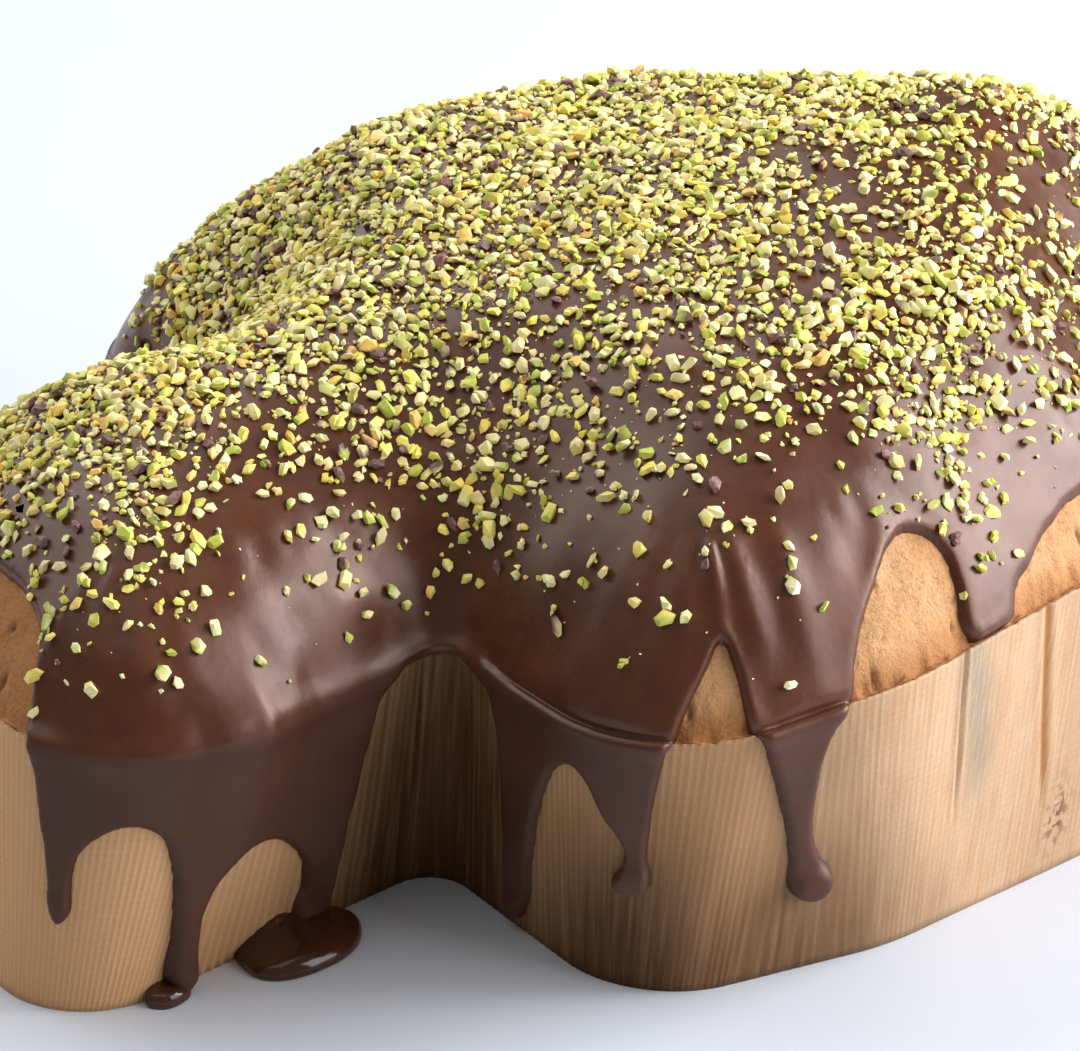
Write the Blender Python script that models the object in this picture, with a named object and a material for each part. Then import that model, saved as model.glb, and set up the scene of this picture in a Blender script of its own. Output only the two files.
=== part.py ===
"""Colomba Easter bread in its paper case, glazed with chocolate and chopped pistachio.

Sizes are in millimetres and turned into metres when a mesh is made. The dove lies along X,
head towards +X, near wing towards -Y, and it stands on Z = 0.
"""
import math
import random

import bmesh
import bpy
import numpy as np
from mathutils import Matrix, Vector, geometry
from mathutils.bvhtree import BVHTree

MM = 0.001

# The outline of the dove is a belt round pulleys: x, y, radius, and +1 where the belt turns
# outward or -1 where it bends inward. Only the near half is given; the far half mirrors it.
# Lengths along X are drafted from abreast of the notch behind the wings, MIDDLE mm before
# the middle of the dove.
MIDDLE = 69.0
RIM_PULLEYS = (
    (40.0, 0.0, 124.0, 1),      # end of the tail
    (-52.0, -28.0, 30.0, 1),    # corner of the tail
    (-4.0, -57.0, 6.0, -1),     # notch between tail and wing
    (36.0, -82.0, 32.0, 1),     # rear corner of the wing
    (58.0, -48.0, 68.0, 1),     # tip of the wing
    (112.0, -58.0, 46.0, 1),    # front of the wing
    (186.0, -72.0, 20.0, -1),   # notch between wing and head
    (178.0, 0.0, 46.0, 1),      # head
)
FOOT_PULLEYS = (
    (40.0, 0.0, 126.5, 1),
    (-65.0, -27.0, 19.5, 1),
    (-1.0, -46.0, 9.0, -1),
    (35.0, -77.0, 25.0, 1),
    (68.0, -46.0, 61.0, 1),
    (110.0, -57.0, 45.5, 1),
    (183.0, -66.0, 24.0, -1),
    (177.0, 0.0, 41.0, 1),
)

# The paper case
RIM_AT_TAIL = 58.0
RIM_RISE = 6.5
RIM_RISE_START = -20.0
RIM_RISE_RUN = 110.0
RIM_FALL = 3.0
RIM_FALL_START = 120.0
RIM_FALL_RUN = 100.0
PAPER = 0.8
PAPER_FLOOR = 1.2
CASE_ROWS = (0.0, 0.34, 0.67, 1.0)
ARC_STEP = math.radians(17)
RUN_STEP = 12.0

# The risen bread: a steep shoulder inside the rim, and a broad crown along the body
BREAD_GAP = 0.7
BREAD_SINK = 1.9
SHOULDER_WIDTH = 46.0
SHOULDER_HEIGHT = 40.0
SHOULDER_POWER = 1.7
SHOULDER_ROUND = 1.4
CROWN_HEIGHT = 17.5
CROWN_X = 138.0
CROWN_BACK = 108.0
CROWN_FRONT = 112.0
CROWN_SIDE = 86.0
TAIL_DIP = 6.0
TAIL_DIP_START = 9.0
TAIL_DIP_RUN = 90.0
DOME_TUCK = 1.0
SMOOTH_SHARE = 0.35
SMOOTH_DEPTH = 34.0
SMOOTH_SIDES = 6
BREAD_INSETS = (3.2, 8.0, 17.0)
BREAD_TUCK = 1.0
FILL_GRID = 15.0
FILL_MARGIN = 6.0

# The chocolate
GLAZE_GAP = 0.6
GLAZE_THICK = 1.7
GLAZE_EDGE = 1.1
TIP_SWELL = 1.2
TIP_SWELL_FALL = 30.0
LIP = 3.2
SHORT_LIP = 1.9
LANE_START = 1.5
LANE_LEAST = 1.9
RING_INSET = 18.0
DOME_ROWS = (0.0, 0.5, 0.84, 1.0)
WALL_ROWS = (0.0, 0.55, 1.0)

# Each drip: its left and right side along the rim, the level where its sides are free, and
# its tip. Places run along the rim from the middle of the tail's end, by the near wing first.
# Levels run down the case from the rim.
DRIPS = (
    (42.5, 51.0, 26.0, 36.0),
    (78.5, 84.0, 40.0, 51.5),
    (101.5, 109.0, 46.0, 53.0),
    (144.0, 152.5, 40.0, 53.0),
    (177.0, 184.0, 25.0, 34.0),
    (212.5, 218.0, 34.0, 44.0),
    (249.5, 262.0, -2.0, 0.6),
    (318.0, 327.0, 16.0, 27.0),
    (354.0, 361.0, 32.0, 46.0),
    (389.0, 397.0, 20.0, 33.0),
    (435.0, 442.0, 37.0, 50.0),
    (481.0, 489.0, 28.0, 42.0),
    (541.0, 548.0, 36.0, 50.0),
    (580.0, 588.0, 18.0, 30.0),
    (628.0, 635.0, 33.0, 46.0),
    (669.0, 678.0, 14.0, 25.0),
    (711.0, 718.0, 30.0, 43.0),
    (755.0, 762.0, 38.0, 52.0),
    (802.0, 809.0, 30.0, 44.0),
    (848.0, 857.0, 16.0, 28.0),
)
# Each crown between two drips: its place, its level, and how square the edge bends to the
# drip before and the drip after. A level above the rim, below zero, leaves the bread bare.
CROWNS = (
    (62.0, 16.0, 2.0, 1.5),
    (95.0, 31.0, 2.0, 2.0),
    (124.0, 2.2, 1.8, 3.0),
    (163.0, 10.0, 2.0, 2.0),
    (196.5, -8.0, 3.0, 1.35),
    (243.0, -12.5, 2.8, 2.0),
    (300.0, -8.0, 1.4, 1.6),
    (340.0, 9.0, 2.0, 1.6),
    (371.0, 2.2, 2.2, 2.6),
    (416.0, -9.5, 1.5, 2.2),
    (462.0, 8.0, 2.0, 1.8),
    (512.0, -11.0, 2.4, 1.6),
    (563.0, 9.0, 2.0, 1.6),
    (608.0, -10.5, 1.5, 2.4),
    (651.0, 8.0, 1.8, 2.0),
    (695.0, -9.0, 2.6, 1.5),
    (737.0, 10.0, 2.0, 2.0),
    (778.0, 2.2, 1.7, 2.8),
    (829.0, -7.5, 1.5, 2.4),
    (899.0, -13.5, 2.2, 2.6),
)
BEND_STEPS = (0.55, 0.9)
TIP_STEPS = (0.0, 0.15, 0.85, 1.0)
TIP_ROUND = 0.3
COLUMN_GAP = 2.8

# Chocolate that reached the table: the pool under the third drip and the foot of the second.
# Each lies against the case, so its back is cut along the wall. Place, distance out, length
# along the wall, depth and height; then the section as shares of its radius and height.
POOL = (102.5, 4.8, 27.0, 19.0, 4.2)
DRIP_FOOT = (80.8, 2.6, 8.5, 7.0, 4.4)
PUDDLE_SECTION = ((0.9, 0.0), (1.0, 0.35), (0.93, 0.72), (0.72, 0.95))
PUDDLE_SIDES = 20
PUDDLE_GAP = 0.5
WALL_LEAN = 0.3

# Chopped pistachio, fused to the chocolate
GRAIN_COUNT = 108
GRAIN_SIZE = (4.6, 6.6)
GRAIN_SPACING = 9.0
GRAIN_SINK = 0.2
GRAIN_CORNERS = 9
GRAIN_TURN = 2.4
GRAIN_WIDTH = (0.6, 0.85)
GRAIN_HEIGHT = (0.45, 0.65)
GRAIN_SEED = 23
GRAIN_REACH = (155.0, 118.0)
GRAIN_EDGE = 13.0
GRAIN_FULL = 30.0

SHARP_ANGLE = math.radians(40)


def whole_belt(half):
    """Mirror the near pulleys across the X axis, in order round the outline."""
    centred = [(x - MIDDLE, y, r, turn) for x, y, r, turn in half]
    return centred + [(x, -y, r, turn) for x, y, r, turn in centred[-2:0:-1]]


def belt_segments(pulleys, inset=0.0):
    """Arcs and straight runs of a belt, moved inward by inset."""
    signed = [(x, y, r * turn - inset) for x, y, r, turn in pulleys]
    runs = []
    for (x0, y0, r0), (x1, y1, r1) in zip(signed, signed[1:] + signed[:1]):
        heading = math.atan2(y1 - y0, x1 - x0) - math.asin((r1 - r0) / math.hypot(x1 - x0, y1 - y0))
        nx = -math.sin(heading)
        ny = math.cos(heading)
        runs.append((heading, (x0 - nx * r0, y0 - ny * r0), (x1 - nx * r1, y1 - ny * r1)))
    segments = []
    for i, pulley in enumerate(signed):
        before = runs[i - 1][0]
        turn = (runs[i][0] - before + math.pi) % (2 * math.pi) - math.pi
        segments.append(("arc", pulley, before, turn))
        segments.append(("run", runs[i][1], runs[i][2], runs[i][0]))
    return segments


def segment_length(segment):
    """Length of one arc or run."""
    if segment[0] == "arc":
        return abs(segment[3] * segment[1][2])
    (x0, y0), (x1, y1) = segment[1], segment[2]
    return math.hypot(x1 - x0, y1 - y0)


def belt_point(segments, k):
    """Point and outward direction at segment number k, counted with its fraction."""
    i = int(k) % len(segments)
    part = k - int(k)
    kind, first, second, last = segments[i]
    if kind == "arc":
        heading = second + last * part
        out = (math.sin(heading), -math.cos(heading))
        return first[0] + out[0] * first[2], first[1] + out[1] * first[2], out
    out = (math.sin(last), -math.cos(last))
    return first[0] + (second[0] - first[0]) * part, first[1] + (second[1] - first[1]) * part, out


RIM_BELT = whole_belt(RIM_PULLEYS)
RIM = belt_segments(RIM_BELT)
FOOT = belt_segments(whole_belt(FOOT_PULLEYS))
RIM_LENGTHS = [segment_length(segment) for segment in RIM]
RIM_TOTAL = sum(RIM_LENGTHS)


def belt_number(place):
    """Segment number with fraction, for a distance along the rim from the tail's end."""
    rest = (place + RIM_LENGTHS[0] / 2) % RIM_TOTAL
    for i, length in enumerate(RIM_LENGTHS):
        if rest <= length:
            return i + min(rest / length, 0.999999)
        rest -= length
    return len(RIM_LENGTHS) - 0.000001


def rim_height(x):
    """Height of the paper rim: lowest at the tail, highest at the wings' front."""
    t = min(max((x + MIDDLE - RIM_RISE_START) / RIM_RISE_RUN, 0.0), 1.0)
    ahead = min(max((x + MIDDLE - RIM_FALL_START) / RIM_FALL_RUN, 0.0), 1.0)
    return RIM_AT_TAIL + RIM_RISE * t * t * (3 - 2 * t) - RIM_FALL * ahead


def wall_point(place, level, out=0.0):
    """Point on the case's outer wall, level below the rim and moved outward."""
    k = belt_number(place)
    rx, ry, (nx, ny) = belt_point(RIM, k)
    fx, fy, _ = belt_point(FOOT, k)
    high = rim_height(rx)
    t = level / high
    return Vector((rx + (fx - rx) * t + nx * out, ry + (fy - ry) * t + ny * out, high - level))


def rim_polyline(step=2.0):
    """The rim as closely spaced points, to measure depths from."""
    count = int(RIM_TOTAL / step)
    points = [belt_point(RIM, belt_number(RIM_TOTAL * i / count))[:2] for i in range(count)]
    return np.array(points)


RIM_POINTS = rim_polyline()


def rim_depth(points):
    """Distance of each plan point from the rim."""
    starts = RIM_POINTS
    along = np.roll(starts, -1, axis=0) - starts
    squares = (along ** 2).sum(axis=1)
    away = points[:, None, :] - starts[None, :, :]
    t = np.clip((away * along[None]).sum(axis=2) / squares, 0, 1)
    return np.sqrt(((away - t[..., None] * along[None]) ** 2).sum(axis=2)).min(axis=1)


def smooth_depth(points):
    """Depth inside the rim, averaged round each point so that no hip lines show."""
    plain = rim_depth(points)
    total = plain.copy()
    reach = SMOOTH_SHARE * np.minimum(plain, SMOOTH_DEPTH)
    for i in range(SMOOTH_SIDES):
        angle = 2 * math.pi * i / SMOOTH_SIDES
        shift = np.array([math.cos(angle), math.sin(angle)])
        total += rim_depth(points + reach[:, None] * shift)
    return total / (SMOOTH_SIDES + 1)


def dome_heights(points):
    """Height of the loaf's risen top at plan points."""
    points = np.asarray(points, dtype=float)
    depth = smooth_depth(points)
    t = np.clip((depth - PAPER - BREAD_GAP) / SHOULDER_WIDTH, 0, 1)
    rise = SHOULDER_HEIGHT * (1 - (1 - t) ** SHOULDER_POWER) ** (1 / SHOULDER_ROUND)
    x = points[:, 0] + MIDDLE
    reach = np.where(x < CROWN_X, CROWN_BACK, CROWN_FRONT)
    crown = CROWN_HEIGHT * np.exp(-((x - CROWN_X) / reach) ** 2 - (points[:, 1] / CROWN_SIDE) ** 2)
    dip = TAIL_DIP * np.clip((TAIL_DIP_START - x) / TAIL_DIP_RUN, 0, 1)
    base = np.array([rim_height(px) for px in points[:, 0]])
    return base - DOME_TUCK + rise + (crown - dip) * t


def inset_points(places, inset):
    """Plan points at these places, moved inward from the rim."""
    segments = belt_segments(RIM_BELT, inset)
    return [belt_point(segments, belt_number(place))[:2] for place in places]


def plain_places():
    """Places round the outline for the case and the bread: close on arcs, wide on runs."""
    places = []
    start = -RIM_LENGTHS[0] / 2
    for segment, length in zip(RIM, RIM_LENGTHS):
        if segment[0] == "arc":
            count = max(2, round(abs(segment[3]) / ARC_STEP))
        else:
            count = max(1, round(length / RUN_STEP))
        places += [start + length * i / count for i in range(count)]
        start += length
    return places


def make_object(name, verts, faces, material):
    """A mesh object from millimetre points."""
    mesh = bpy.data.meshes.new(name)
    mesh.from_pydata([Vector(v) * MM for v in verts], [], faces)
    mesh.materials.append(material)
    obj = bpy.data.objects.new(name, mesh)
    bpy.context.scene.collection.objects.link(obj)
    bm = bmesh.new()
    bm.from_mesh(mesh)
    bmesh.ops.recalc_face_normals(bm, faces=bm.faces)
    bm.to_mesh(mesh)
    bm.free()
    mesh.shade_smooth()
    mesh.set_sharp_from_angle(angle=SHARP_ANGLE)
    return obj


def make_material(name, color, roughness):
    """A plain surface in one colour."""
    material = bpy.data.materials.new(name)
    material.use_nodes = True
    shader = material.node_tree.nodes["Principled BSDF"]
    shader.inputs["Base Color"].default_value = (*color, 1.0)
    shader.inputs["Roughness"].default_value = roughness
    shader.inputs["Metallic"].default_value = 0.0
    return material


def join_rings(first, second, count):
    """Quads between two closed rings of vertex numbers."""
    steps = [(i, (i + 1) % count) for i in range(count)]
    return [(first + a, first + b, second + b, second + a) for a, b in steps]


def fill_inside(ring):
    """Triangles that fill a closed plan ring, with a staggered grid of points inside it."""
    count = len(ring)
    edge = np.array(ring)
    low = edge.min(axis=0)
    high = edge.max(axis=0)
    spots = []
    for row, y in enumerate(np.arange(low[1], high[1], FILL_GRID * math.sin(math.radians(60)))):
        start = low[0] + (FILL_GRID / 2 if row % 2 else 0.0)
        for x in np.arange(start, high[0], FILL_GRID):
            clear = np.hypot(edge[:, 0] - x, edge[:, 1] - y).min() > FILL_MARGIN
            if clear and inside_ring((x, y), ring):
                spots.append((float(x), float(y)))
    points = [Vector(p) for p in ring] + [Vector(p) for p in spots]
    result = geometry.delaunay_2d_cdt(points, [], [list(range(count))], 1, 0.0001)
    return [tuple(p) for p in result[0][count:]], [tuple(f) for f in result[2]]


def inside_ring(point, ring):
    """True where a plan point lies inside a closed ring."""
    x, y = point
    hit = False
    for (x0, y0), (x1, y1) in zip(ring, ring[1:] + ring[:1]):
        if (y0 > y) != (y1 > y) and x < (x1 - x0) * (y - y0) / (y1 - y0) + x0:
            hit = not hit
    return hit


def make_case(places):
    """The flared paper cup with its floor."""
    count = len(places)
    verts = []
    for share in CASE_ROWS:
        for place in places:
            verts.append(wall_point(place, wall_point(place, 0.0).z * share))
    for share in reversed(CASE_ROWS):
        for place in places:
            high = wall_point(place, 0.0).z
            verts.append(wall_point(place, min(high * share, high - PAPER_FLOOR), -PAPER))
    rings = [count * i for i in range(2 * len(CASE_ROWS))]
    under = rings[len(CASE_ROWS) - 1]
    inside = rings[len(CASE_ROWS)]
    faces = [tuple(range(under, under + count)), tuple(range(inside, inside + count))]
    for first, second in zip(rings, rings[1:] + rings[:1]):
        if first != under:
            faces += join_rings(first, second, count)
    return make_object("paper_case", verts, faces, make_material("kraft_paper", (0.46, 0.27, 0.12), 0.75))


def make_bread(places):
    """The solid loaf that fills the case and rises above it."""
    count = len(places)
    side = -PAPER - BREAD_GAP
    floor = PAPER_FLOOR + BREAD_GAP
    verts = []
    for share in (1.0, 0.5, 0.0):
        for place in places:
            deepest = wall_point(place, 0.0).z - floor
            verts.append(wall_point(place, BREAD_TUCK + (deepest - BREAD_TUCK) * share, side))
    last = len(verts)
    for inset in BREAD_INSETS:
        plan = inset_points(places, inset)
        last = len(verts)
        verts += [(x, y, z - BREAD_SINK) for (x, y), z in zip(plan, dome_heights(plan))]
    faces = [tuple(range(count))]
    for ring in range(0, last, count):
        faces += join_rings(ring, ring + count, count)
    spots, triangles = fill_inside([(x, y) for x, y, _ in verts[last:]])
    start = len(verts)
    verts += [(x, y, z - BREAD_SINK) for (x, y), z in zip(spots, dome_heights(spots))]
    for triangle in triangles:
        faces.append(tuple(last + i if i < count else start + i - count for i in triangle))
    return make_object("bread", verts, faces, make_material("bread_crust", (0.56, 0.27, 0.09), 0.8))


def edge_level(place):
    """Level of the chocolate's lower edge, made of quarter bends between sides and tips."""
    place = place % RIM_TOTAL
    if place < CROWNS[-1][0] - RIM_TOTAL:
        place += RIM_TOTAL
    for i, (left, right, side, tip) in enumerate(DRIPS):
        before = CROWNS[i - 1]
        crown_place = before[0] - (RIM_TOTAL if i == 0 else 0.0)
        if crown_place <= place <= left:
            return bend(place, left, side, crown_place, before[1], before[3])
        if left <= place <= right:
            middle = (left + right) / 2
            shoulder = tip - (right - left) * TIP_ROUND
            return bend(place, left if place < middle else right, shoulder, middle, tip, 2.0)
        after = CROWNS[i]
        if right <= place <= after[0]:
            return bend(place, right, side, after[0], after[1], after[2])
    return CROWNS[-1][1]


def bend(place, side_place, side_level, flat_place, flat_level, square):
    """Quarter of a superellipse, upright at the side and level at the flat end."""
    u = min(abs((place - flat_place) / (side_place - flat_place)), 1.0)
    return flat_level + (side_level - flat_level) * (1 - (1 - u ** square) ** (1 / square))


def glaze_places():
    """Places of the glaze's columns: at each drip's sides and tip, and along each bend."""
    places = []
    for i, (left, right, _, _) in enumerate(DRIPS):
        start = CROWNS[i - 1][0] - (RIM_TOTAL if i == 0 else 0.0)
        end = CROWNS[i][0]
        places += [start + (left - start) * step for step in BEND_STEPS]
        places += [left + (right - left) * step for step in TIP_STEPS]
        places += [end + (right - end) * step for step in reversed(BEND_STEPS)]
        places.append(end)
    fixed = sorted(place % RIM_TOTAL for place in places)
    extra = []
    for place in plain_places():
        gaps = [abs(place % RIM_TOTAL - other) for other in fixed + extra]
        if min(min(gap, RIM_TOTAL - gap) for gap in gaps) > COLUMN_GAP:
            extra.append(place % RIM_TOTAL)
    return sorted(fixed + extra)


def glaze_sheet():
    """The chocolate's inner face as a grid: rows down the dome, over the rim and down the case."""
    places = glaze_places()
    levels = [edge_level(place) for place in places]
    lanes = [level > LANE_LEAST for level in levels]
    count = len(places)
    rings = len(DOME_ROWS)
    plan = []
    for row in DOME_ROWS:
        for place, level, lane in zip(places, levels, lanes):
            lip = LIP if lane else max(SHORT_LIP, -level)
            plan.append(belt_point(belt_segments(RIM_BELT, RING_INSET + (lip - RING_INSET) * row),
                                   belt_number(place))[:2])
    heights = dome_heights(plan)
    verts = [Vector((x, y, z)) for (x, y), z in zip(plan, heights)]
    faces = []
    for row in range(rings - 1):
        faces += join_rings(count * (row + 1), count * row, count)
    spots, triangles = fill_inside(plan[:count])
    start = len(verts)
    verts += [Vector((x, y, z)) for (x, y), z in zip(spots, dome_heights(spots))]
    for triangle in triangles:
        faces.append(tuple(i if i < count else start + i - count for i in triangle))
    columns = {}
    for i, (place, level, lane) in enumerate(zip(places, levels, lanes)):
        if lane and (lanes[i - 1] or lanes[(i + 1) % count]):
            columns[i] = [count * (rings - 1) + i, len(verts)]
            verts.append(wall_point(place, 0.0))
            for share in WALL_ROWS:
                columns[i].append(len(verts))
                verts.append(wall_point(place, LANE_START + (level - LANE_START) * share))
    for i, column in columns.items():
        beside = columns.get((i + 1) % count)
        if beside:
            for a, b in zip(range(len(column) - 1), range(1, len(column))):
                faces.append((column[b], beside[b], beside[a], column[a]))
    swell = [0.0] * len(verts)
    for i, column in columns.items():
        for share, number in zip(WALL_ROWS, column[2:]):
            swell[number] = TIP_SWELL * share ** 3 * min(levels[i] / TIP_SWELL_FALL, 1.0)
    return verts, faces, swell


def thicken(verts, faces, swell):
    """A closed skin: the sheet moved out by the gap, and again by the thickness."""
    bm = bmesh.new()
    made = [bm.verts.new(v) for v in verts]
    for face in faces:
        bm.faces.new([made[i] for i in face])
    bmesh.ops.recalc_face_normals(bm, faces=bm.faces)
    if sum(face.normal.z * face.calc_area() for face in bm.faces) < 0:
        bmesh.ops.reverse_faces(bm, faces=bm.faces)
    bm.normal_update()
    bm.verts.index_update()
    used = [v for v in made if v.link_faces]
    number = {v.index: i for i, v in enumerate(used)}
    inner = [v.co + v.normal * GLAZE_GAP for v in used]
    outer = []
    for v in used:
        thick = GLAZE_EDGE if v.is_boundary else GLAZE_THICK
        outer.append(v.co + v.normal * (GLAZE_GAP + thick + swell[v.index]))
    count = len(used)
    out_faces = []
    for face in bm.faces:
        loop = [number[v.index] for v in face.verts]
        out_faces.append(tuple(i + count for i in loop))
        out_faces.append(tuple(reversed(loop)))
    for edge in bm.edges:
        if edge.is_boundary:
            loop = edge.link_loops[0]
            a = number[loop.vert.index]
            b = number[loop.link_loop_next.vert.index]
            out_faces.append((b, a, a + count, b + count)[::-1])
    bm.free()
    return inner + outer, out_faces


def make_grain(center, normal, size, rng, material):
    """One chopped piece of pistachio: the hull of a few points on a squat ellipsoid."""
    bm = bmesh.new()
    shape = Vector((size, size * rng.uniform(*GRAIN_WIDTH), size * rng.uniform(*GRAIN_HEIGHT))) * 0.5
    for i in range(GRAIN_CORNERS):
        z = 1 - 2 * (i + 0.5) / GRAIN_CORNERS
        angle = GRAIN_TURN * i + rng.uniform(-0.5, 0.5)
        flat = math.sqrt(1 - z * z)
        point = Vector((flat * math.cos(angle), flat * math.sin(angle), z))
        bm.verts.new(Vector(p * s for p, s in zip(point, shape)) * rng.uniform(0.85, 1.1))
    bmesh.ops.convex_hull(bm, input=bm.verts)
    loose = [v for v in bm.verts if not v.link_faces]
    bmesh.ops.delete(bm, geom=loose, context="VERTS")
    turn = Vector((0, 0, 1)).rotation_difference(normal).to_matrix().to_4x4()
    spin = Matrix.Rotation(rng.uniform(0, 2 * math.pi), 4, "Z")
    lift = center + normal * shape.z * (1 - 2 * GRAIN_SINK)
    bm.transform(Matrix.Scale(MM, 4) @ Matrix.Translation(lift) @ turn @ spin)
    bmesh.ops.recalc_face_normals(bm, faces=bm.faces)
    mesh = bpy.data.meshes.new("grain")
    bm.to_mesh(mesh)
    bm.free()
    mesh.materials.append(material)
    return bpy.data.objects.new("grain", mesh)


def grain_spots(rng):
    """Plan points for the grains: spread over the crown, thinner towards the rim."""
    ring = [tuple(p) for p in RIM_POINTS]
    spots = []
    while len(spots) < GRAIN_COUNT:
        x = rng.uniform(-GRAIN_REACH[0], GRAIN_REACH[0])
        y = rng.uniform(-GRAIN_REACH[1], GRAIN_REACH[1])
        if not inside_ring((x, y), ring) or any(math.dist((x, y), p) < GRAIN_SPACING for p in spots):
            continue
        depth = float(rim_depth(np.array([(x, y)]))[0])
        if depth > GRAIN_EDGE and rng.random() < depth / GRAIN_FULL:
            spots.append((x, y))
    return spots


def make_glaze():
    """The chocolate skin with the largest pistachio grains fused to it."""
    material = make_material("dark_chocolate", (0.055, 0.018, 0.010), 0.3)
    verts, faces = thicken(*glaze_sheet())
    glaze = make_object("chocolate_glaze", verts, faces, material)
    nut = make_material("pistachio", (0.45, 0.45, 0.08), 0.6)
    rng = random.Random(GRAIN_SEED)
    heap = bpy.data.collections.new("grains")
    bpy.context.scene.collection.children.link(heap)
    tree = BVHTree.FromPolygons(verts, faces)
    for x, y in grain_spots(rng):
        center, normal, _, _ = tree.ray_cast(Vector((x, y, 200.0)), Vector((0, 0, -1)))
        heap.objects.link(make_grain(center, normal, rng.uniform(*GRAIN_SIZE), rng, nut))
    union = glaze.modifiers.new("fuse_grains", "BOOLEAN")
    union.operation = "UNION"
    union.operand_type = "COLLECTION"
    union.collection = heap
    union.solver = "EXACT"
    bpy.context.view_layer.objects.active = glaze
    with bpy.context.temp_override(object=glaze, active_object=glaze):
        bpy.ops.object.modifier_apply(modifier=union.name)
    for grain in list(heap.objects):
        bpy.data.objects.remove(grain)
    bpy.data.collections.remove(heap)
    return glaze


def make_puddle(name, size, material):
    """A flat drop of chocolate on the table, its back cut along the case's wall."""
    place, out, length, depth, high = size
    sides = PUDDLE_SIDES
    verts = []
    for share, rise in PUDDLE_SECTION:
        back = PUDDLE_GAP + WALL_LEAN * high * rise
        for i in range(sides):
            angle = 2 * math.pi * i / sides
            away = out + math.sin(angle) * depth / 2 * share
            verts.append((math.cos(angle) * length / 2 * share, max(away, back), high * rise))
    verts.append((0.0, out, high))
    faces = [tuple(range(sides))]
    last = sides * (len(PUDDLE_SECTION) - 1)
    for ring in range(0, last, sides):
        faces += join_rings(ring, ring + sides, sides)
    faces += [(last + i, last + (i + 1) % sides, len(verts) - 1) for i in range(sides)]
    obj = make_object(name, verts, faces, material)
    x, y, (nx, ny) = belt_point(FOOT, belt_number(place))
    obj.location = Vector((x, y, 0.0)) * MM
    obj.rotation_euler = (0.0, 0.0, math.atan2(ny, nx) - math.pi / 2)
    return obj


def main():
    """Clear the scene and build each piece."""
    for obj in list(bpy.data.objects):
        bpy.data.objects.remove(obj)
    places = plain_places()
    make_case(places)
    make_bread(places)
    glaze = make_glaze()
    chocolate = glaze.data.materials[0]
    make_puddle("chocolate_pool", POOL, chocolate)
    make_puddle("chocolate_foot", DRIP_FOOT, chocolate)


main()
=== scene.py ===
"""Looks of a colomba Easter bread: paper case, crust, chocolate coat and chopped pistachio.

Lengths are in millimetres until a mesh is made. The dove lies along X with its head towards
+X. Most surfaces are drafted on the unrolled outline: place runs along the rim from the
middle of the tail's end, and level runs down the case from the rim, or up the loaf below 0.
"""

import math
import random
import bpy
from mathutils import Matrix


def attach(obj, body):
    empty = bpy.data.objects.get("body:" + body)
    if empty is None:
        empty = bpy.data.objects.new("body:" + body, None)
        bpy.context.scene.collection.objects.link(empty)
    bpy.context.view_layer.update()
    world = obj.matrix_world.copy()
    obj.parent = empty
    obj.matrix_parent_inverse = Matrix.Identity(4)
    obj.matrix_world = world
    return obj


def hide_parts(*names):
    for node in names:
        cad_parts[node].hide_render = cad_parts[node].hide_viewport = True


bl_info = {
    "name": "Colomba Easter bread",
    "version": (1, 0, 0),
    "blender": (4, 5, 0),
    "location": "3D View > Sidebar > Colomba",
    "description": "Builds the visible pieces of a chocolate coated dove bread in its paper case",
    "category": "Object",
}

import bmesh
import bpy
import numpy as np
from bpy.props import FloatProperty, FloatVectorProperty, IntProperty, PointerProperty
from bpy.types import Operator, Panel, PropertyGroup
from mathutils import Matrix, Vector, geometry, kdtree, noise
from mathutils.bvhtree import BVHTree

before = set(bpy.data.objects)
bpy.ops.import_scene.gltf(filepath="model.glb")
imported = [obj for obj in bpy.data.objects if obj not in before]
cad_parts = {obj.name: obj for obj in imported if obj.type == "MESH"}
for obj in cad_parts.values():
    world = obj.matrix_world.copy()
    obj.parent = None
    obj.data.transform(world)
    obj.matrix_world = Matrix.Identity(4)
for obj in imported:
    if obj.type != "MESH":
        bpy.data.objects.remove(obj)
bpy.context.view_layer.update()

MM = 0.001

# Outline of the dove as a belt round pulleys: x, y, radius, and +1 where the belt turns
# outward or -1 where it bends inward. The far half mirrors the near half given here.
MIDDLE = 69.0
RIM_PULLEYS = (
    (40.0, 0.0, 124.0, 1),
    (-52.0, -28.0, 30.0, 1),
    (-4.0, -57.0, 6.0, -1),
    (36.0, -82.0, 32.0, 1),
    (58.0, -48.0, 68.0, 1),
    (112.0, -58.0, 46.0, 1),
    (186.0, -72.0, 20.0, -1),
    (178.0, 0.0, 46.0, 1),
)
FOOT_PULLEYS = (
    (40.0, 0.0, 126.5, 1),
    (-65.0, -27.0, 19.5, 1),
    (-1.0, -46.0, 9.0, -1),
    (35.0, -77.0, 25.0, 1),
    (68.0, -46.0, 61.0, 1),
    (110.0, -57.0, 45.5, 1),
    (183.0, -66.0, 24.0, -1),
    (177.0, 0.0, 41.0, 1),
)

RIM_AT_TAIL = 58.0
RIM_RISE = 6.5
RIM_FALL = 3.0
SHOULDER_WIDTH = 46.0
SHOULDER_HEIGHT = 40.0
SHOULDER_POWER = 1.7
SHOULDER_ROUND = 1.4
SHOULDER_START = 1.5
CROWN_HEIGHT = 17.5
CROWN_X = 138.0
CROWN_BACK = 108.0
CROWN_FRONT = 112.0
CROWN_SIDE = 86.0
TAIL_DIP = 6.0

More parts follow.
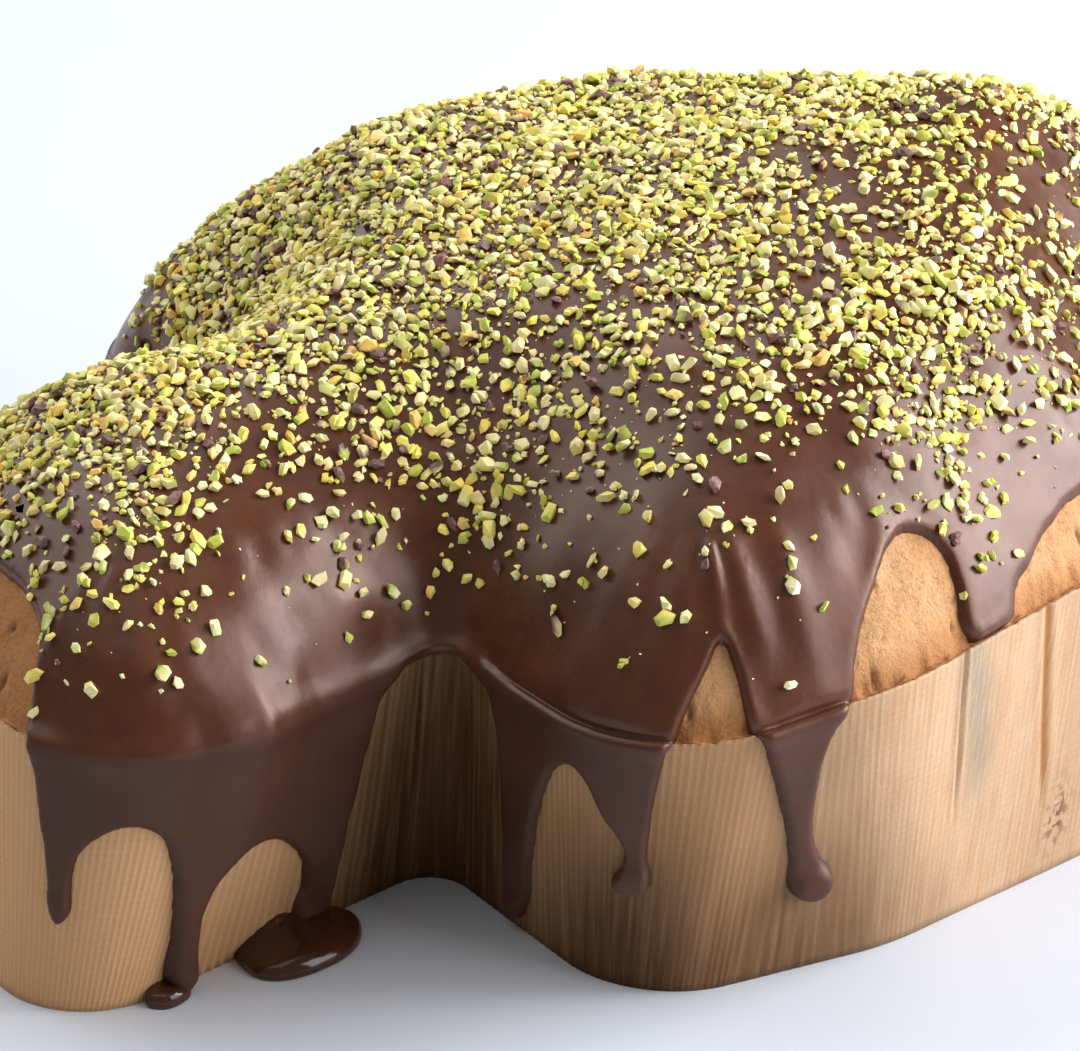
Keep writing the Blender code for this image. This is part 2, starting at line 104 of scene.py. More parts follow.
# Lower edge of the coat by the near wing, as place and level. It runs smoothly through these.
NEAR_EDGE = (
    (4.7, -13.5), (20.0, -12.6), (30.0, -9.5), (35.3, -4.2), (38.4, 1.5), (42.0, 16.5), (44.5, 29.0),
    (45.7, 35.0), (48.5, 38.2), (51.2, 35.0), (50.3, 27.0), (52.5, 20.5), (57.0, 17.0), (62.5, 15.8),
    (67.0, 18.0), (71.0, 23.5), (75.4, 35.0), (78.6, 45.0), (80.2, 53.5), (82.7, 58.5), (85.2, 54.0),
    (83.8, 46.0), (83.0, 37.5), (84.0, 31.5), (88.0, 28.0), (92.5, 28.6), (98.0, 32.7), (102.3, 39.5),
    (103.0, 46.0), (102.5, 53.0), (105.7, 58.6), (109.2, 55.0), (110.2, 44.0), (111.0, 30.0),
    (112.6, 14.0), (113.8, 5.0), (117.0, 1.2), (124.0, 0.5), (132.0, 1.0), (138.5, 3.5), (142.0, 12.0),
    (143.6, 27.0), (144.2, 45.0), (144.7, 52.0), (147.5, 56.5), (150.6, 52.0), (151.8, 42.0),
    (153.5, 29.0), (157.5, 16.5), (161.0, 11.2), (164.5, 9.7), (168.0, 11.8), (171.5, 18.2),
    (175.0, 22.0), (176.9, 25.5), (176.8, 29.3), (174.6, 32.2), (175.8, 34.6), (179.5, 35.4),
    (183.2, 34.2), (183.6, 31.2), (182.4, 27.5), (183.0, 13.0), (184.3, 2.0), (186.2, -2.0),
    (190.0, -5.3), (194.6, -9.2), (196.6, -9.0), (198.4, -5.6), (199.4, -2.2), (202.0, 1.8),
    (206.7, 14.0), (210.3, 25.5), (211.5, 33.0), (211.9, 39.0), (213.4, 43.0), (216.3, 44.6),
    (219.0, 42.4), (219.0, 38.3), (216.8, 34.0), (215.6, 29.0), (215.0, 18.0), (216.3, 7.5),
    (219.3, 1.0), (223.0, -3.5), (227.5, -7.3), (236.0, -12.0), (243.0, -14.2), (248.3, -13.3),
    (251.6, -10.0), (251.6, -5.6), (250.2, -2.6), (252.0, -1.0), (257.0, -0.7), (262.4, -1.0),
    (266.0, -2.8), (271.0, -4.2), (279.0, -6.2), (290.0, -8.0), (300.0, -8.0),
)
# Thick ends of its drips: place, level, half width, and how far they stand out
NEAR_BEADS = (
    (48.4, 34.5, 3.0, 0.6),
    (82.7, 55.0, 2.8, 0.7),
    (105.8, 55.0, 3.3, 0.8),
    (147.5, 52.5, 3.0, 0.8),
    (179.4, 33.0, 4.3, 1.5),
    (216.0, 40.6, 3.5, 1.9),
)
# The other drips: left and right side along the rim, the level where its sides run free, its
# tip, how wide the tip is against the neck, how far it leans, and how much it stands out
DRIPS = (
    (318.0, 327.0, 14.0, 27.0, 0.7, 0.5, 0.8),
    (354.0, 361.0, 32.0, 46.0, 0.95, -0.3, 1.0),
    (389.0, 397.0, 18.0, 33.0, 0.85, 0.3, 0.9),
    (435.0, 442.0, 37.0, 50.0, 1.1, 0.4, 1.3),
    (481.0, 489.0, 28.0, 42.0, 0.75, -0.4, 0.9),
    (541.0, 548.0, 36.0, 50.0, 1.1, 0.2, 1.2),
    (580.0, 588.0, 16.0, 30.0, 0.75, 0.3, 0.8),
    (628.0, 635.0, 33.0, 46.0, 1.0, -0.5, 1.1),
    (669.0, 678.0, 12.0, 25.0, 0.8, 0.2, 0.8),
    (711.0, 718.0, 30.0, 43.0, 1.15, 0.3, 1.3),
    (755.0, 762.0, 38.0, 52.0, 0.9, 0.0, 1.0),
    (802.0, 809.0, 30.0, 44.0, 1.1, -0.3, 1.2),
    (848.0, 857.0, 14.0, 28.0, 0.8, 0.2, 0.8),
)
# The crown before each of them and the last one: place, level, and how square the bends
# before and after are
CROWNS = (
    (300.0, -8.0, 1.4, 1.6),
    (340.0, 9.0, 2.0, 1.6),
    (371.0, 2.2, 2.2, 2.6),
    (416.0, -9.5, 1.5, 2.2),
    (462.0, 8.0, 2.0, 1.8),
    (512.0, -11.0, 2.4, 1.6),
    (563.0, 9.0, 2.0, 1.6),
    (608.0, -10.5, 1.5, 2.4),
    (651.0, 8.0, 1.8, 2.0),
    (695.0, -9.0, 2.6, 1.5),
    (737.0, 10.0, 2.0, 2.0),
    (778.0, 2.2, 1.7, 2.8),
    (829.0, -7.5, 1.5, 2.4),
    (899.0, -13.5, 2.2, 2.6),
)
# Small swells of the loaf: x, y, reach along and across, and height
DOME_SWELLS = (
    (-126.0, 34.0, 12.0, 22.0, -16.0),
    (-42.0, 96.0, 18.0, 14.0, -6.0),
    (16.0, 67.0, 26.0, 18.0, 2.6),
    (-93.0, 34.0, 12.0, 26.0, 5.5),
    (-30.0, 40.0, 38.0, 40.0, 3.0),
    (26.0, 30.0, 16.0, 30.0, -1.5),
    (128.0, 15.0, 26.0, 40.0, 6.0),
)
# Spacing of the coat's points along its edge, near it, on its band, over the top, and round
# the ring where the band meets the top
EDGE_STEP = 0.42
FINE_STEP = 0.62
BAND_STEP = 1.75
LID_STEP = 2.3
CAP_STEP = 2.0
# Where it is fine: least and most distance from the edge, and the levels beside the rim
FINE_REACH = (0.33, 2.7)
FINE_LEVELS = (-3.7, 1.5)
# Where it is coarse: least distance from the edge, and the levels that it leaves out
COARSE_REACH = 2.9
COARSE_GAP = (-4.2, 1.9)
# Levels between which the coat is drafted unrolled
BAND_TOP = -22.0
COAT_FOOT = 60.0

# Chocolate on the table: name, node, place along the foot, distance out, length, depth and
# height, seed of its rim, how blunt its right end is, where the drip lands and how high
PUDDLES = (
    ("pool_of_chocolate", "chocolate_pool", 102.5, 4.8, 27.0, 19.0, 4.4, 1.7, 3.2, 3.0, 3.2),
    ("foot_of_drip", "chocolate_foot", 81.2, 2.2, 9.4, 6.6, 3.0, 4.2, 2.0, 2.0, 0.8),
)
# Their section from the middle out, as shares of their width and height, and sides round them
PUDDLE_SECTION = (
    (0.35, 0.985), (0.6, 0.94), (0.76, 0.86), (0.87, 0.74), (0.94, 0.58), (0.985, 0.38), (1.0, 0.2),
    (0.99, 0.07), (0.96, 0.0),
)
PUDDLE_SIDES = 96

# Distance over which the coat's edge is round, and its bead along the paper's rim: level,
# reach and height
EDGE_ROUND = 1.8
RIM_BEAD = ((-0.2, 1.4, 0.4), (3.8, 1.9, -0.35), (-2.4, 1.1, 0.35))
# Swells of the coat: scale of the noise along each axis, its seed, and height
COAT_SWELLS = (((26.0, 26.0, 30.0), 3.0, 1.2), ((11.0, 11.0, 13.0), 4.0, 0.45), ((5.0, 5.0, 6.0), 5.0, 0.16))
# Where the coat stands clear of the paper's rim: from, to, and depth of the gap
RIM_GAPS = (
    (146.0, 224.0, 1.5), (345.0, 420.0, 1.3), (520.0, 600.0, 1.3), (640.0, 720.0, 1.4),
)
# Where the coat runs softly over the rim: from place, to place
SOFT_RIMS = (
    (30.0, 138.0), (758.0, 864.0),
)
# Folds of the coat that run downhill: place, from level, to level, width and height
FOLDS = (
    (196.0, -46.0, -9.0, 2.6, 1.7), (189.5, -48.0, -16.0, 2.4, -0.8), (205.0, -40.0, -4.0, 2.4, 0.9),
    (214.0, -34.0, -4.0, 2.8, 0.8), (232.0, -44.0, -14.0, 3.0, 0.7), (460.0, -36.0, 20.0, 2.8, 0.9),
    (640.0, -36.0, -6.0, 2.8, 1.0), (822.0, -3.0, 34.0, 2.8, 0.6),
)
# Blunt upright corners of the coat on the case, in the same way
CORNERS = (
    (84.5, -3.0, 70.0, 13.0, 2.3), (812.0, -3.0, 70.0, 13.0, 1.8),
)
# Stretch of the case where the coat's painted shade on the wall is weaker, a painted lighter
# side: it comes over the first pair and leaves over the second
LESS_WALL_SHADE = ((70.0, 92.0), (400.0, 500.0))
# Where the coat is wrinkled: place, reach along the rim, height of the folds and of the curls
WRINKLES = (
    (212.0, 30.0, 1.3, 0.0), (104.0, 22.0, 0.4, 0.6), (150.0, 20.0, 0.7, 0.2), (450.0, 40.0, 0.8, 0.2),
    (690.0, 40.0, 0.8, 0.3), (800.0, 30.0, 0.5, 0.5),
)
# Heights on the wall of the case as shares from the rim down, and its points to a flute
WALL_SHARES = (0.0, 0.012, 0.05, 0.12, 0.2, 0.28, 0.36, 0.44, 0.52, 0.6, 0.68, 0.76, 0.84, 0.91, 0.965, 1.0)
POINTS_PER_FLUTE = 6
# Level and tones of the inside and the sole, for the paper's look, with some painted shade
# and painted crest highlight
HIDDEN_LEVEL = 62.0
HIDDEN_TONES = (0.3, 0.5, 0.0)
# Creases of the case: place, depth, width, how far down they fade out, how orange they are,
# and how they lean
CREASES = (
    (18.0, 0.35, 0.7, 60.0, 0.0, 0.0), (248.0, 0.5, 0.5, 42.0, 0.25, 0.1),
    (273.0, 0.4, 1.0, 50.0, 1.0, 0.2), (455.0, 0.4, 0.7, 60.0, 0.4, 0.0),
    (612.0, 0.45, 0.6, 44.0, 0.5, 0.05), (735.0, 0.35, 0.7, 60.0, 0.2, 0.0),
    (845.0, 0.4, 0.6, 50.0, 0.3, -0.1),
)
# Greyer patches of the case, those at places 192 and 197 by a drip being painted shade:
# place, level, reach along and down, and amount
GREY_AND_SHADE_PATCHES = (
    (251.0, 2.0, 4.0, 8.0, 0.9), (253.8, 14.0, 5.0, 10.0, 0.95), (257.0, 28.0, 5.0, 9.0, 0.9),
    (217.5, 18.0, 6.0, 20.0, 0.65), (192.0, 7.0, 5.0, 8.0, 0.65), (197.0, 22.0, 5.0, 8.0, 0.5),
    (520.0, 24.0, 7.0, 12.0, 0.5), (655.0, 40.0, 6.0, 12.0, 0.45), (870.0, 30.0, 7.0, 14.0, 0.5),
)
# Stained spots of the case, in the same way
STAINS = (
    (288.0, 52.0, 3.8, 6.0, 1.0), (286.5, 35.5, 0.9, 1.1, 1.0), (250.2, 35.0, 1.3, 1.0, 0.8),
    (560.0, 44.0, 4.0, 5.0, 0.8), (838.0, 46.0, 4.0, 5.0, 0.8),
)
# Painted shade on the case, darkest in the notches and low on the wings, in the same way
PAINTED_SHADE_PATCHES = (
    (350.0, 30.0, 90.0, 200.0, 0.4), (130.0, 40.0, 30.0, 90.0, 1.0), (176.0, 68.0, 34.0, 62.0, 1.0),
    (208.0, 70.0, 34.0, 50.0, 0.85), (240.0, 74.0, 22.0, 30.0, 0.5), (205.0, 14.0, 24.0, 30.0, 0.4),
    (92.0, 60.0, 18.0, 40.0, 0.3), (400.0, 60.0, 24.0, 24.0, 0.4), (765.0, 50.0, 26.0, 70.0, 0.7),
    (700.0, 64.0, 24.0, 24.0, 0.5),
)
# Stretches of the rim that the browner paper leaves and comes back over, and its amount
TAN_FADES = ((190.0, 240.0), (720.0, 800.0))
TAN_AMOUNT = 0.8
# Ribs across the paper, in radians to a centimetre
PAPER_RIBS = 39.0
# Inside of the case's lip, as level and distance from the outer wall, and its sole's shares
INNER_LIP = ((0.0, -0.55), (7.0, -0.6))
SOLE_SHARES = (0.985, 0.985, 1.0)
# Levels of the loaf, up from the rim, and level and distance of its edge inside the case
LOAF_LEVELS = (0.75, 0.95, 1.15, 1.35, 1.6, *np.arange(2.0, 15.2, 0.55), 18.0, 23.0)
LOAF_TUCK = (2.5, -1.6)
# Pores of the bare crust, and where it is browner: place, reach along, and amount; the
# browning at the tail's end is painted shade
PORES = 120
TOASTED_AND_SHADED = (
    (193.0, 10.0, 0.35), (20.0, 30.0, 1.2), (420.0, 14.0, 0.3), (690.0, 14.0, 0.45), (880.0, 24.0, 0.5),
)
# Kinds of chopped kernel with their share of the grains
GRAIN_KINDS = {"pale": 0.44, "yellow": 0.24, "green": 0.20, "gold": 0.05, "skin": 0.07}
# Least distance between grains of each size, and how much they lie in clumps
LARGE_LIE = (2.0, 0.9)
SMALL_LIE = (0.9, 0.7)
DUST_LIE = (0.35, 0.9)
# Their shapes: how many there are, corners, range of their length, and share of doubles
CHUNKS = (30, 13, (1.0, 1.6), 0.4)
BITS = (14, 9, (0.9, 1.7), 0.0)
SPECKS = (6, 6, (0.9, 1.6), 0.0)
# The sizes that they range over
LARGE_SPAN = (1.75, 3.95)
SMALL_SPAN = (0.9, 1.9)
DUST_SPAN = (0.3, 0.8)
# Turn from one corner of a grain to the next, which spreads them evenly
GOLDEN_ANGLE = 2.399963
# Extent in plan over which grains are tried, and how many tries there are for each
GRAIN_X = (-154, 156)
GRAIN_Y = (-117, 117)
GRAIN_TRIES = 16
# Least upward part of the normal where grains hold, and the share of tries kept where level
STEEPEST = 0.12
LEVEL_SHARE = 0.35
# How far grains sink in, and how much their lightness varies, for kernels and for skins
GRAIN_SINK = 0.22
GRAIN_SPREAD = 0.17
SKIN_SPREAD = 0.35
# Patches where the nuts lie thinner or thicker: x, y, radius and share
NUT_PATCHES = (
    (18.0, -68.0, 13.0, 4.2), (45.0, -62.0, 16.0, 3.6), (3.0, -66.0, 8.0, 1.7),
    (14.0, -91.0, 12.0, 4.6), (31.0, -82.0, 12.0, 2.3), (-15.0, -74.0, 9.0, 3.0),
    (39.0, -38.0, 12.0, 0.14), (16.0, -51.0, 8.0, 0.22), (-1.0, -37.0, 9.0, 1.6),
    (20.0, -26.0, 8.0, 1.5), (43.0, -14.0, 11.0, 0.22), (89.0, -30.0, 21.0, 0.12),
    (72.0, -53.0, 11.0, 0.3), (125.0, 16.0, 20.0, 0.4), (60.0, 22.0, 18.0, 0.8),
    (-48.0, 68.0, 30.0, 1.6), (-103.0, 7.0, 13.0, 2.6), (-37.0, -26.0, 10.0, 0.6),
    (-50.0, -67.0, 13.0, 0.6), (-72.0, -42.0, 13.0, 0.55), (-37.0, -84.0, 8.0, 0.45),
    (-50.0, -90.0, 10.0, 0.4), (-47.0, -41.0, 9.0, 1.8), (-11.0, -99.0, 11.0, 0.15),
    (36.0, -102.0, 11.0, 0.2), (-134.0, -12.0, 14.0, 0.28), (-117.0, -30.0, 9.0, 2.2),
    (-99.0, -18.0, 9.0, 0.6), (-135.0, -22.0, 9.0, 0.5), (-112.0, -46.0, 22.0, 0.3),
    (-98.0, -40.0, 12.0, 0.2), (-83.0, -34.0, 8.0, 0.4), (-136.0, -42.0, 10.0, 0.3),
    (-32.0, -77.0, 8.0, 2.4), (-51.0, 94.0, 10.0, 0.3), (-80.0, -30.0, 16.0, 0.7),
    (-60.0, -22.0, 7.0, 1.5), (-68.0, -52.0, 8.0, 1.5), (-23.0, 17.0, 15.0, 1.7),
    (-57.0, 72.0, 13.0, 1.5),
)

# The stage, in metres: lamps as name, place, aim, size and colour
LAMPS = (
    ("window", (1.2, -0.52, 0.65), (0.0, 0.0, 0.05), (1.0, 1.05), (0.97, 0.97, 0.99)),
    ("side_window", (0.82, -1.12, 0.66), (0.0, 0.0, 0.05), (1.0, 1.1), (1.0, 0.97, 0.99)),
    ("ceiling", (-0.45, 0.4, 1.9), (0.0, 0.0, 0.0), (2.5, 2.5), (1.0, 0.98, 0.94)),
    ("back_wall", (-0.2, 1.45, 1.15), (0.0, 0.0, 0.08), (2.6, 2.0), (0.97, 0.985, 1.0)),
)
SKY_COLOR = (1.0, 0.95, 0.9, 1.0)
FLOOR_REACH = 6.0
SENSOR_WIDTH = 36.0


class Belt:
    """The outline as arcs and straight runs, read at many places at once."""

    def __init__(self, half):
        centred = [(x - MIDDLE, y, r * turn) for x, y, r, turn in half]
        pulleys = centred + [(x, -y, r) for x, y, r in centred[-2:0:-1]]
        runs = []
        for (x0, y0, r0), (x1, y1, r1) in zip(pulleys, pulleys[1:] + pulleys[:1]):
            heading = math.atan2(y1 - y0, x1 - x0) - math.asin((r1 - r0) / math.hypot(x1 - x0, y1 - y0))
            nx = -math.sin(heading)
            ny = math.cos(heading)
            runs.append((heading, x0 - nx * r0, y0 - ny * r0, x1 - nx * r1, y1 - ny * r1))
        rows = []
        for i, (x, y, r) in enumerate(pulleys):
            before = runs[i - 1][0]
            heading, x0, y0, x1, y1 = runs[i]
            turn = (heading - before + math.pi) % (2 * math.pi) - math.pi
            rows.append((x, y, r, before, turn, 0.0, 0.0))
            rows.append((x0, y0, 0.0, heading, 0.0, x1 - x0, y1 - y0))
        self.rows = np.array(rows)
        self.lengths = np.abs(self.rows[:, 2] * self.rows[:, 4]) + np.hypot(self.rows[:, 5], self.rows[:, 6])

    def read(self, index, part):
        """Points and outward directions at segment numbers and their fractions."""
        x, y, r, heading, turn, dx, dy = self.rows[index].T
        heading = heading + turn * part
        out = np.stack([np.sin(heading), -np.cos(heading)], axis=1)
        points = np.stack([x + out[:, 0] * r + dx * part, y + out[:, 1] * r + dy * part], axis=1)
        return points, out


RIM = Belt(RIM_PULLEYS)
FOOT = Belt(FOOT_PULLEYS)
RIM_TOTAL = float(RIM.lengths.sum())
RIM_ENDS = np.cumsum(RIM.lengths)


def rim_numbers(places):
    """Segment numbers and fractions at distances along the rim."""
    rest = (np.asarray(places, dtype=float) + RIM.lengths[0] / 2) % RIM_TOTAL
    index = np.minimum(np.searchsorted(RIM_ENDS, rest, side="right"), len(RIM_ENDS) - 1)
    return index, (rest - (RIM_ENDS[index] - RIM.lengths[index])) / RIM.lengths[index]


def ramp(values, low, high):
    """Smooth step from 0 at low to 1 at high."""
    t = np.clip((np.asarray(values, dtype=float) - low) / (high - low), 0, 1)
    return t * t * (3 - 2 * t)


def stretch(values, rise, fall):
    """Share of a stretch that rises over one pair of values and falls over another."""
    return ramp(values, *rise) * (1 - ramp(values, *fall))


def from_place(places, place):
    """Signed distance along the rim, the short way round."""
    return (places - place + RIM_TOTAL / 2) % RIM_TOTAL - RIM_TOTAL / 2


def rim_height(x):
    """Height of the paper rim along the dove."""
    ahead = np.clip((np.asarray(x) + MIDDLE - 120.0) / 100.0, 0, 1)
    return RIM_AT_TAIL + RIM_RISE * ramp(np.asarray(x) + MIDDLE, -20.0, 90.0) - RIM_FALL * ahead


def inside(points, outline):
    """True for the points of the plane inside a closed outline."""
    result = np.zeros(len(points), dtype=bool)
    for (x0, y0), (x1, y1) in zip(outline, np.roll(outline, -1, axis=0)):
        if y0 == y1:
            continue
        spans = (y0 > points[:, 1]) != (y1 > points[:, 1])
        result ^= spans & (points[:, 0] < (x1 - x0) * (points[:, 1] - y0) / (y1 - y0) + x0)
    return result


class Loaf:
    """Depth inside the rim on a grid, and the loaf's height worked out from it."""

    pitch = 1.5
    low = (-168.0, -126.0)
    high = (168.0, 126.0)

    def __init__(self):
        count = int(RIM_TOTAL / 2.0)
        starts = RIM.read(*rim_numbers(RIM_TOTAL * np.arange(count) / count))[0]
        xs, ys = (np.arange(low, high + self.pitch, self.pitch) for low, high in zip(self.low, self.high))
        spots = np.stack(np.meshgrid(xs, ys, indexing="ij"), axis=-1).reshape(-1, 2)
        reach = np.full(len(spots), np.inf)
        for start, along in zip(starts, np.roll(starts, -1, axis=0) - starts):
            away = spots - start
            t = np.clip((away * along).sum(axis=1) / (along ** 2).sum(), 0, 1)
            reach = np.minimum(reach, np.sqrt(((away - t[:, None] * along) ** 2).sum(axis=1)))
        self.grid = np.where(inside(spots, starts), reach, -reach).reshape(len(xs), len(ys))

    def depth(self, points):
        """Depth inside the rim, between the grid's points."""
        spot = (np.asarray(points) - np.array(self.low)) / self.pitch
        spot = np.clip(spot, 0, np.array(self.grid.shape) - 1.001)
        cell = spot.astype(int)
        part = spot - cell
        i, j = cell.T
        u, v = part.T
        g = self.grid
        return (g[i, j] * (1 - u) * (1 - v) + g[i + 1, j] * u * (1 - v)
                + g[i, j + 1] * (1 - u) * v + g[i + 1, j + 1] * u * v)

    def height(self, points):
        """Height of the loaf's risen top."""
        points = np.asarray(points, dtype=float)
        plain = np.maximum(self.depth(points), 0.0)
        total = plain.copy()
        reach = 0.35 * np.minimum(plain, 34.0)
        for angle in math.pi / 3 * np.arange(6):
            shift = np.array([math.cos(angle), math.sin(angle)])
            total += np.maximum(self.depth(points + reach[:, None] * shift), 0.0)
        t = np.clip((total / 7 - SHOULDER_START) / SHOULDER_WIDTH, 0, 1)
        rise = SHOULDER_HEIGHT * (1 - (1 - t) ** SHOULDER_POWER) ** (1 / SHOULDER_ROUND)
        x = points[:, 0] + MIDDLE
        reach = np.where(x < CROWN_X, CROWN_BACK, CROWN_FRONT)
        crown = CROWN_HEIGHT * np.exp(-((x - CROWN_X) / reach) ** 2 - (points[:, 1] / CROWN_SIDE) ** 2)
        dip = TAIL_DIP * np.clip((9.0 - x) / 90.0, 0, 1)
        swell = sum(high * np.exp(-((points[:, 0] - px) / wide) ** 2 - ((points[:, 1] - py) / deep) ** 2)
                    for px, py, wide, deep, high in DOME_SWELLS)
        return rim_height(points[:, 0]) - 1.0 + rise + (crown - dip + swell) * t


LOAF = Loaf()


def unrolled(places, levels, out=0.0):
    """Points on the case below the rim, and on the loaf above it."""
    places = np.asarray(places, dtype=float)
    levels = np.asarray(levels, dtype=float)
    index, part = rim_numbers(places)
    rim, normal = RIM.read(index, part)
    foot, _ = FOOT.read(index, part)
    high = rim_height(rim[:, 0])
    t = np.maximum(levels, 0.0) / high
    wall = rim + (foot - rim) * t[:, None] + normal * np.reshape(out, (-1, 1))
    plan = rim + normal * (np.minimum(levels, 0.0))[:, None]
    top = LOAF.height(plan)
    on_wall = levels >= 0
    xy = np.where(on_wall[:, None], wall, plan)
    z = np.where(on_wall, high - levels, top)
    blend = ramp(-levels, 0.0, 1.6)
    z = np.where(on_wall, z, np.maximum(z, high) * blend + high * (1 - blend))
    return np.column_stack([xy, z])


def noise_at(points, scale, seed=0.0):
    """Smooth noise between about -1 and 1 at many points."""
    shift = Vector((seed * 7.3, seed * 3.1, seed * 5.7))
    scales = np.reshape(scale, (-1,)) * np.ones(3)
    return np.array([noise.noise(Vector(p) + shift) for p in np.asarray(points) / scales])


def unrolled_spots(places, levels, across, down):
    """Places and levels as points of the plane, at a scale for each."""
    return np.column_stack([places / across, levels / down, np.zeros(len(places))])


def face_normals(points, faces):
    """Area-weighted normals at the points of a triangle mesh."""
    a, b, c = (points[faces[:, i]] for i in range(3))
    cross = np.cross(b - a, c - a)
    total = np.zeros_like(points)
    for i in range(3):
        np.add.at(total, faces[:, i], cross)
    return total / np.maximum(np.linalg.norm(total, axis=1), 1e-12)[:, None]


def relax(values, faces, rounds, keep=None):
    """Averages values with their neighbours' along a triangle mesh's edges."""
    edges = np.concatenate([faces[:, [0, 1]], faces[:, [1, 2]], faces[:, [2, 0]]])
    count = np.zeros(len(values))
    for i in (0, 1):
        np.add.at(count, edges[:, i], 1)
    for _ in range(rounds):
        total = np.zeros_like(values)
        np.add.at(total, edges[:, 0], values[edges[:, 1]])
        np.add.at(total, edges[:, 1], values[edges[:, 0]])
        mean = total / np.maximum(count, 1).reshape((-1,) + (1,) * (values.ndim - 1))
        mixed = values * 0.5 + mean * 0.5
        values = mixed if keep is None else np.where(keep.reshape(-1, 1), values, mixed)
    return values


def make_piece(name, points, faces, material):
    """A smooth mesh object from millimetre points."""
    mesh = bpy.data.meshes.new(name)
    flat = np.asarray(points, dtype=np.float32) * MM
    if isinstance(faces, np.ndarray):
        sides = faces.shape[1]
        mesh.vertices.add(len(flat))
        mesh.vertices.foreach_set("co", flat.ravel())
        mesh.loops.add(faces.size)
        mesh.loops.foreach_set("vertex_index", faces.astype(np.int32).ravel())
        mesh.polygons.add(len(faces))
        mesh.polygons.foreach_set("loop_start", np.arange(0, faces.size, sides, dtype=np.int32))
        mesh.polygons.foreach_set("loop_total", np.full(len(faces), sides, dtype=np.int32))
        mesh.update(calc_edges=True)
        mesh.validate()
    else:
        mesh.from_pydata([tuple(p) for p in flat], [], faces)
    mesh.shade_smooth()
    mesh.materials.append(material)
    obj = bpy.data.objects.new(name, mesh)
    bpy.context.scene.collection.objects.link(obj)
    return obj


def add_unrolled_map(obj, places, levels):
    """A texture map in centimetres of place and level."""
    layer = obj.data.uv_layers.new(name="unrolled")
    index = np.zeros(len(obj.data.loops), dtype=np.int32)
    obj.data.loops.foreach_get("vertex_index", index)
    pairs = np.stack([np.asarray(places)[index], np.asarray(levels)[index]], axis=1) / 10.0
    layer.data.foreach_set("uv", pairs.astype(np.float32).ravel())


def add_tone(obj, name, values):
    """A number or a colour on each point, for the material to read."""
    layer = obj.data.attributes.new(name, "FLOAT_COLOR", "POINT")
    values = np.asarray(values, dtype=np.float32)
    if values.ndim == 1:
        values = np.repeat(values[:, None], 3, axis=1)
    full = np.concatenate([values, np.ones((len(values), 1), dtype=np.float32)], axis=1)
    layer.data.foreach_set("color", full.ravel())


def settle(obj, slot, *nodes):
    """Lets a piece ride on the body and stand for its solids; the slot it is given is not used."""
    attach(obj, "root")
    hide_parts(*nodes)


class Paint:
    """A material whose nodes are added one at a time."""

    def __init__(self, name, roughness, specular=0.5):
        self.material = bpy.data.materials.new(name)
        self.material.use_nodes = True
        self.tree = self.material.node_tree
        self.shader = self.tree.nodes["Principled BSDF"]
        self.shader.inputs["Roughness"].default_value = roughness
        self.shader.inputs["Specular IOR Level"].default_value = specular

    def add(self, kind, values=None, **settings):
        """A node with its settings, its inputs given as numbers or as other sockets."""
        made = self.tree.nodes.new(kind)
        for key, value in settings.items():
            setattr(made, key, value)
        for key, value in (values or {}).items():
            if isinstance(value, bpy.types.NodeSocket):
                self.tree.links.new(value, made.inputs[key])
            else:
                made.inputs[key].default_value = value
        return made

    def link(self, key, socket):
        """Feeds one of the shader's inputs."""
        self.tree.links.new(socket, self.shader.inputs[key])

    def place(self, scale, kind="object"):
        """Coordinates stretched by a scale for each axis."""
        if kind == "unrolled":
            source = self.add("ShaderNodeUVMap", uv_map="unrolled").outputs["UV"]
        else:
            source = self.add("ShaderNodeTexCoord").outputs["Object"]
        return self.add("ShaderNodeMapping", {"Vector": source, "Scale": scale}).outputs["Vector"]

    def cloud(self, vector, scale, detail=3.0, roughness=0.55):
        """Noise as a grey value."""
        values = {"Vector": vector, "Scale": scale, "Detail": detail, "Roughness": roughness}
        return self.add("ShaderNodeTexNoise", values).outputs["Fac"]

    def span(self, value, low, high, to_low=0.0, to_high=1.0):
        """A value moved from one range to another, clamped."""
        values = {"Value": value, "From Min": low, "From Max": high, "To Min": to_low, "To Max": to_high}
        return self.add("ShaderNodeMapRange", values).outputs["Result"]

    def mix(self, factor, first, second, blend="MIX"):
        """Two colours mixed."""
        first, second = (c if isinstance(c, bpy.types.NodeSocket) else (*c, 1.0) for c in (first, second))
        values = {0: factor, 6: first, 7: second}
        return self.add("ShaderNodeMix", values, data_type="RGBA", blend_type=blend).outputs[2]

    def sum(self, first, second, how="ADD"):
        """Two numbers put together."""
        return self.add("ShaderNodeMath", {0: first, 1: second}, operation=how).outputs[0]

    def tone(self, name):
        """A colour kept on the mesh."""
        return self.add("ShaderNodeAttribute", attribute_name=name).outputs["Color"]

    def channels(self, name):
        """The red, green and blue of a colour kept on the mesh."""
        return self.add("ShaderNodeSeparateColor", {"Color": self.tone(name)}).outputs

    def bump(self, height, distance, strength=1.0):
        """Fine relief from a grey value."""
        values = {"Height": height, "Distance": distance, "Strength": strength}
        self.link("Normal", self.add("ShaderNodeBump", values).outputs["Normal"])


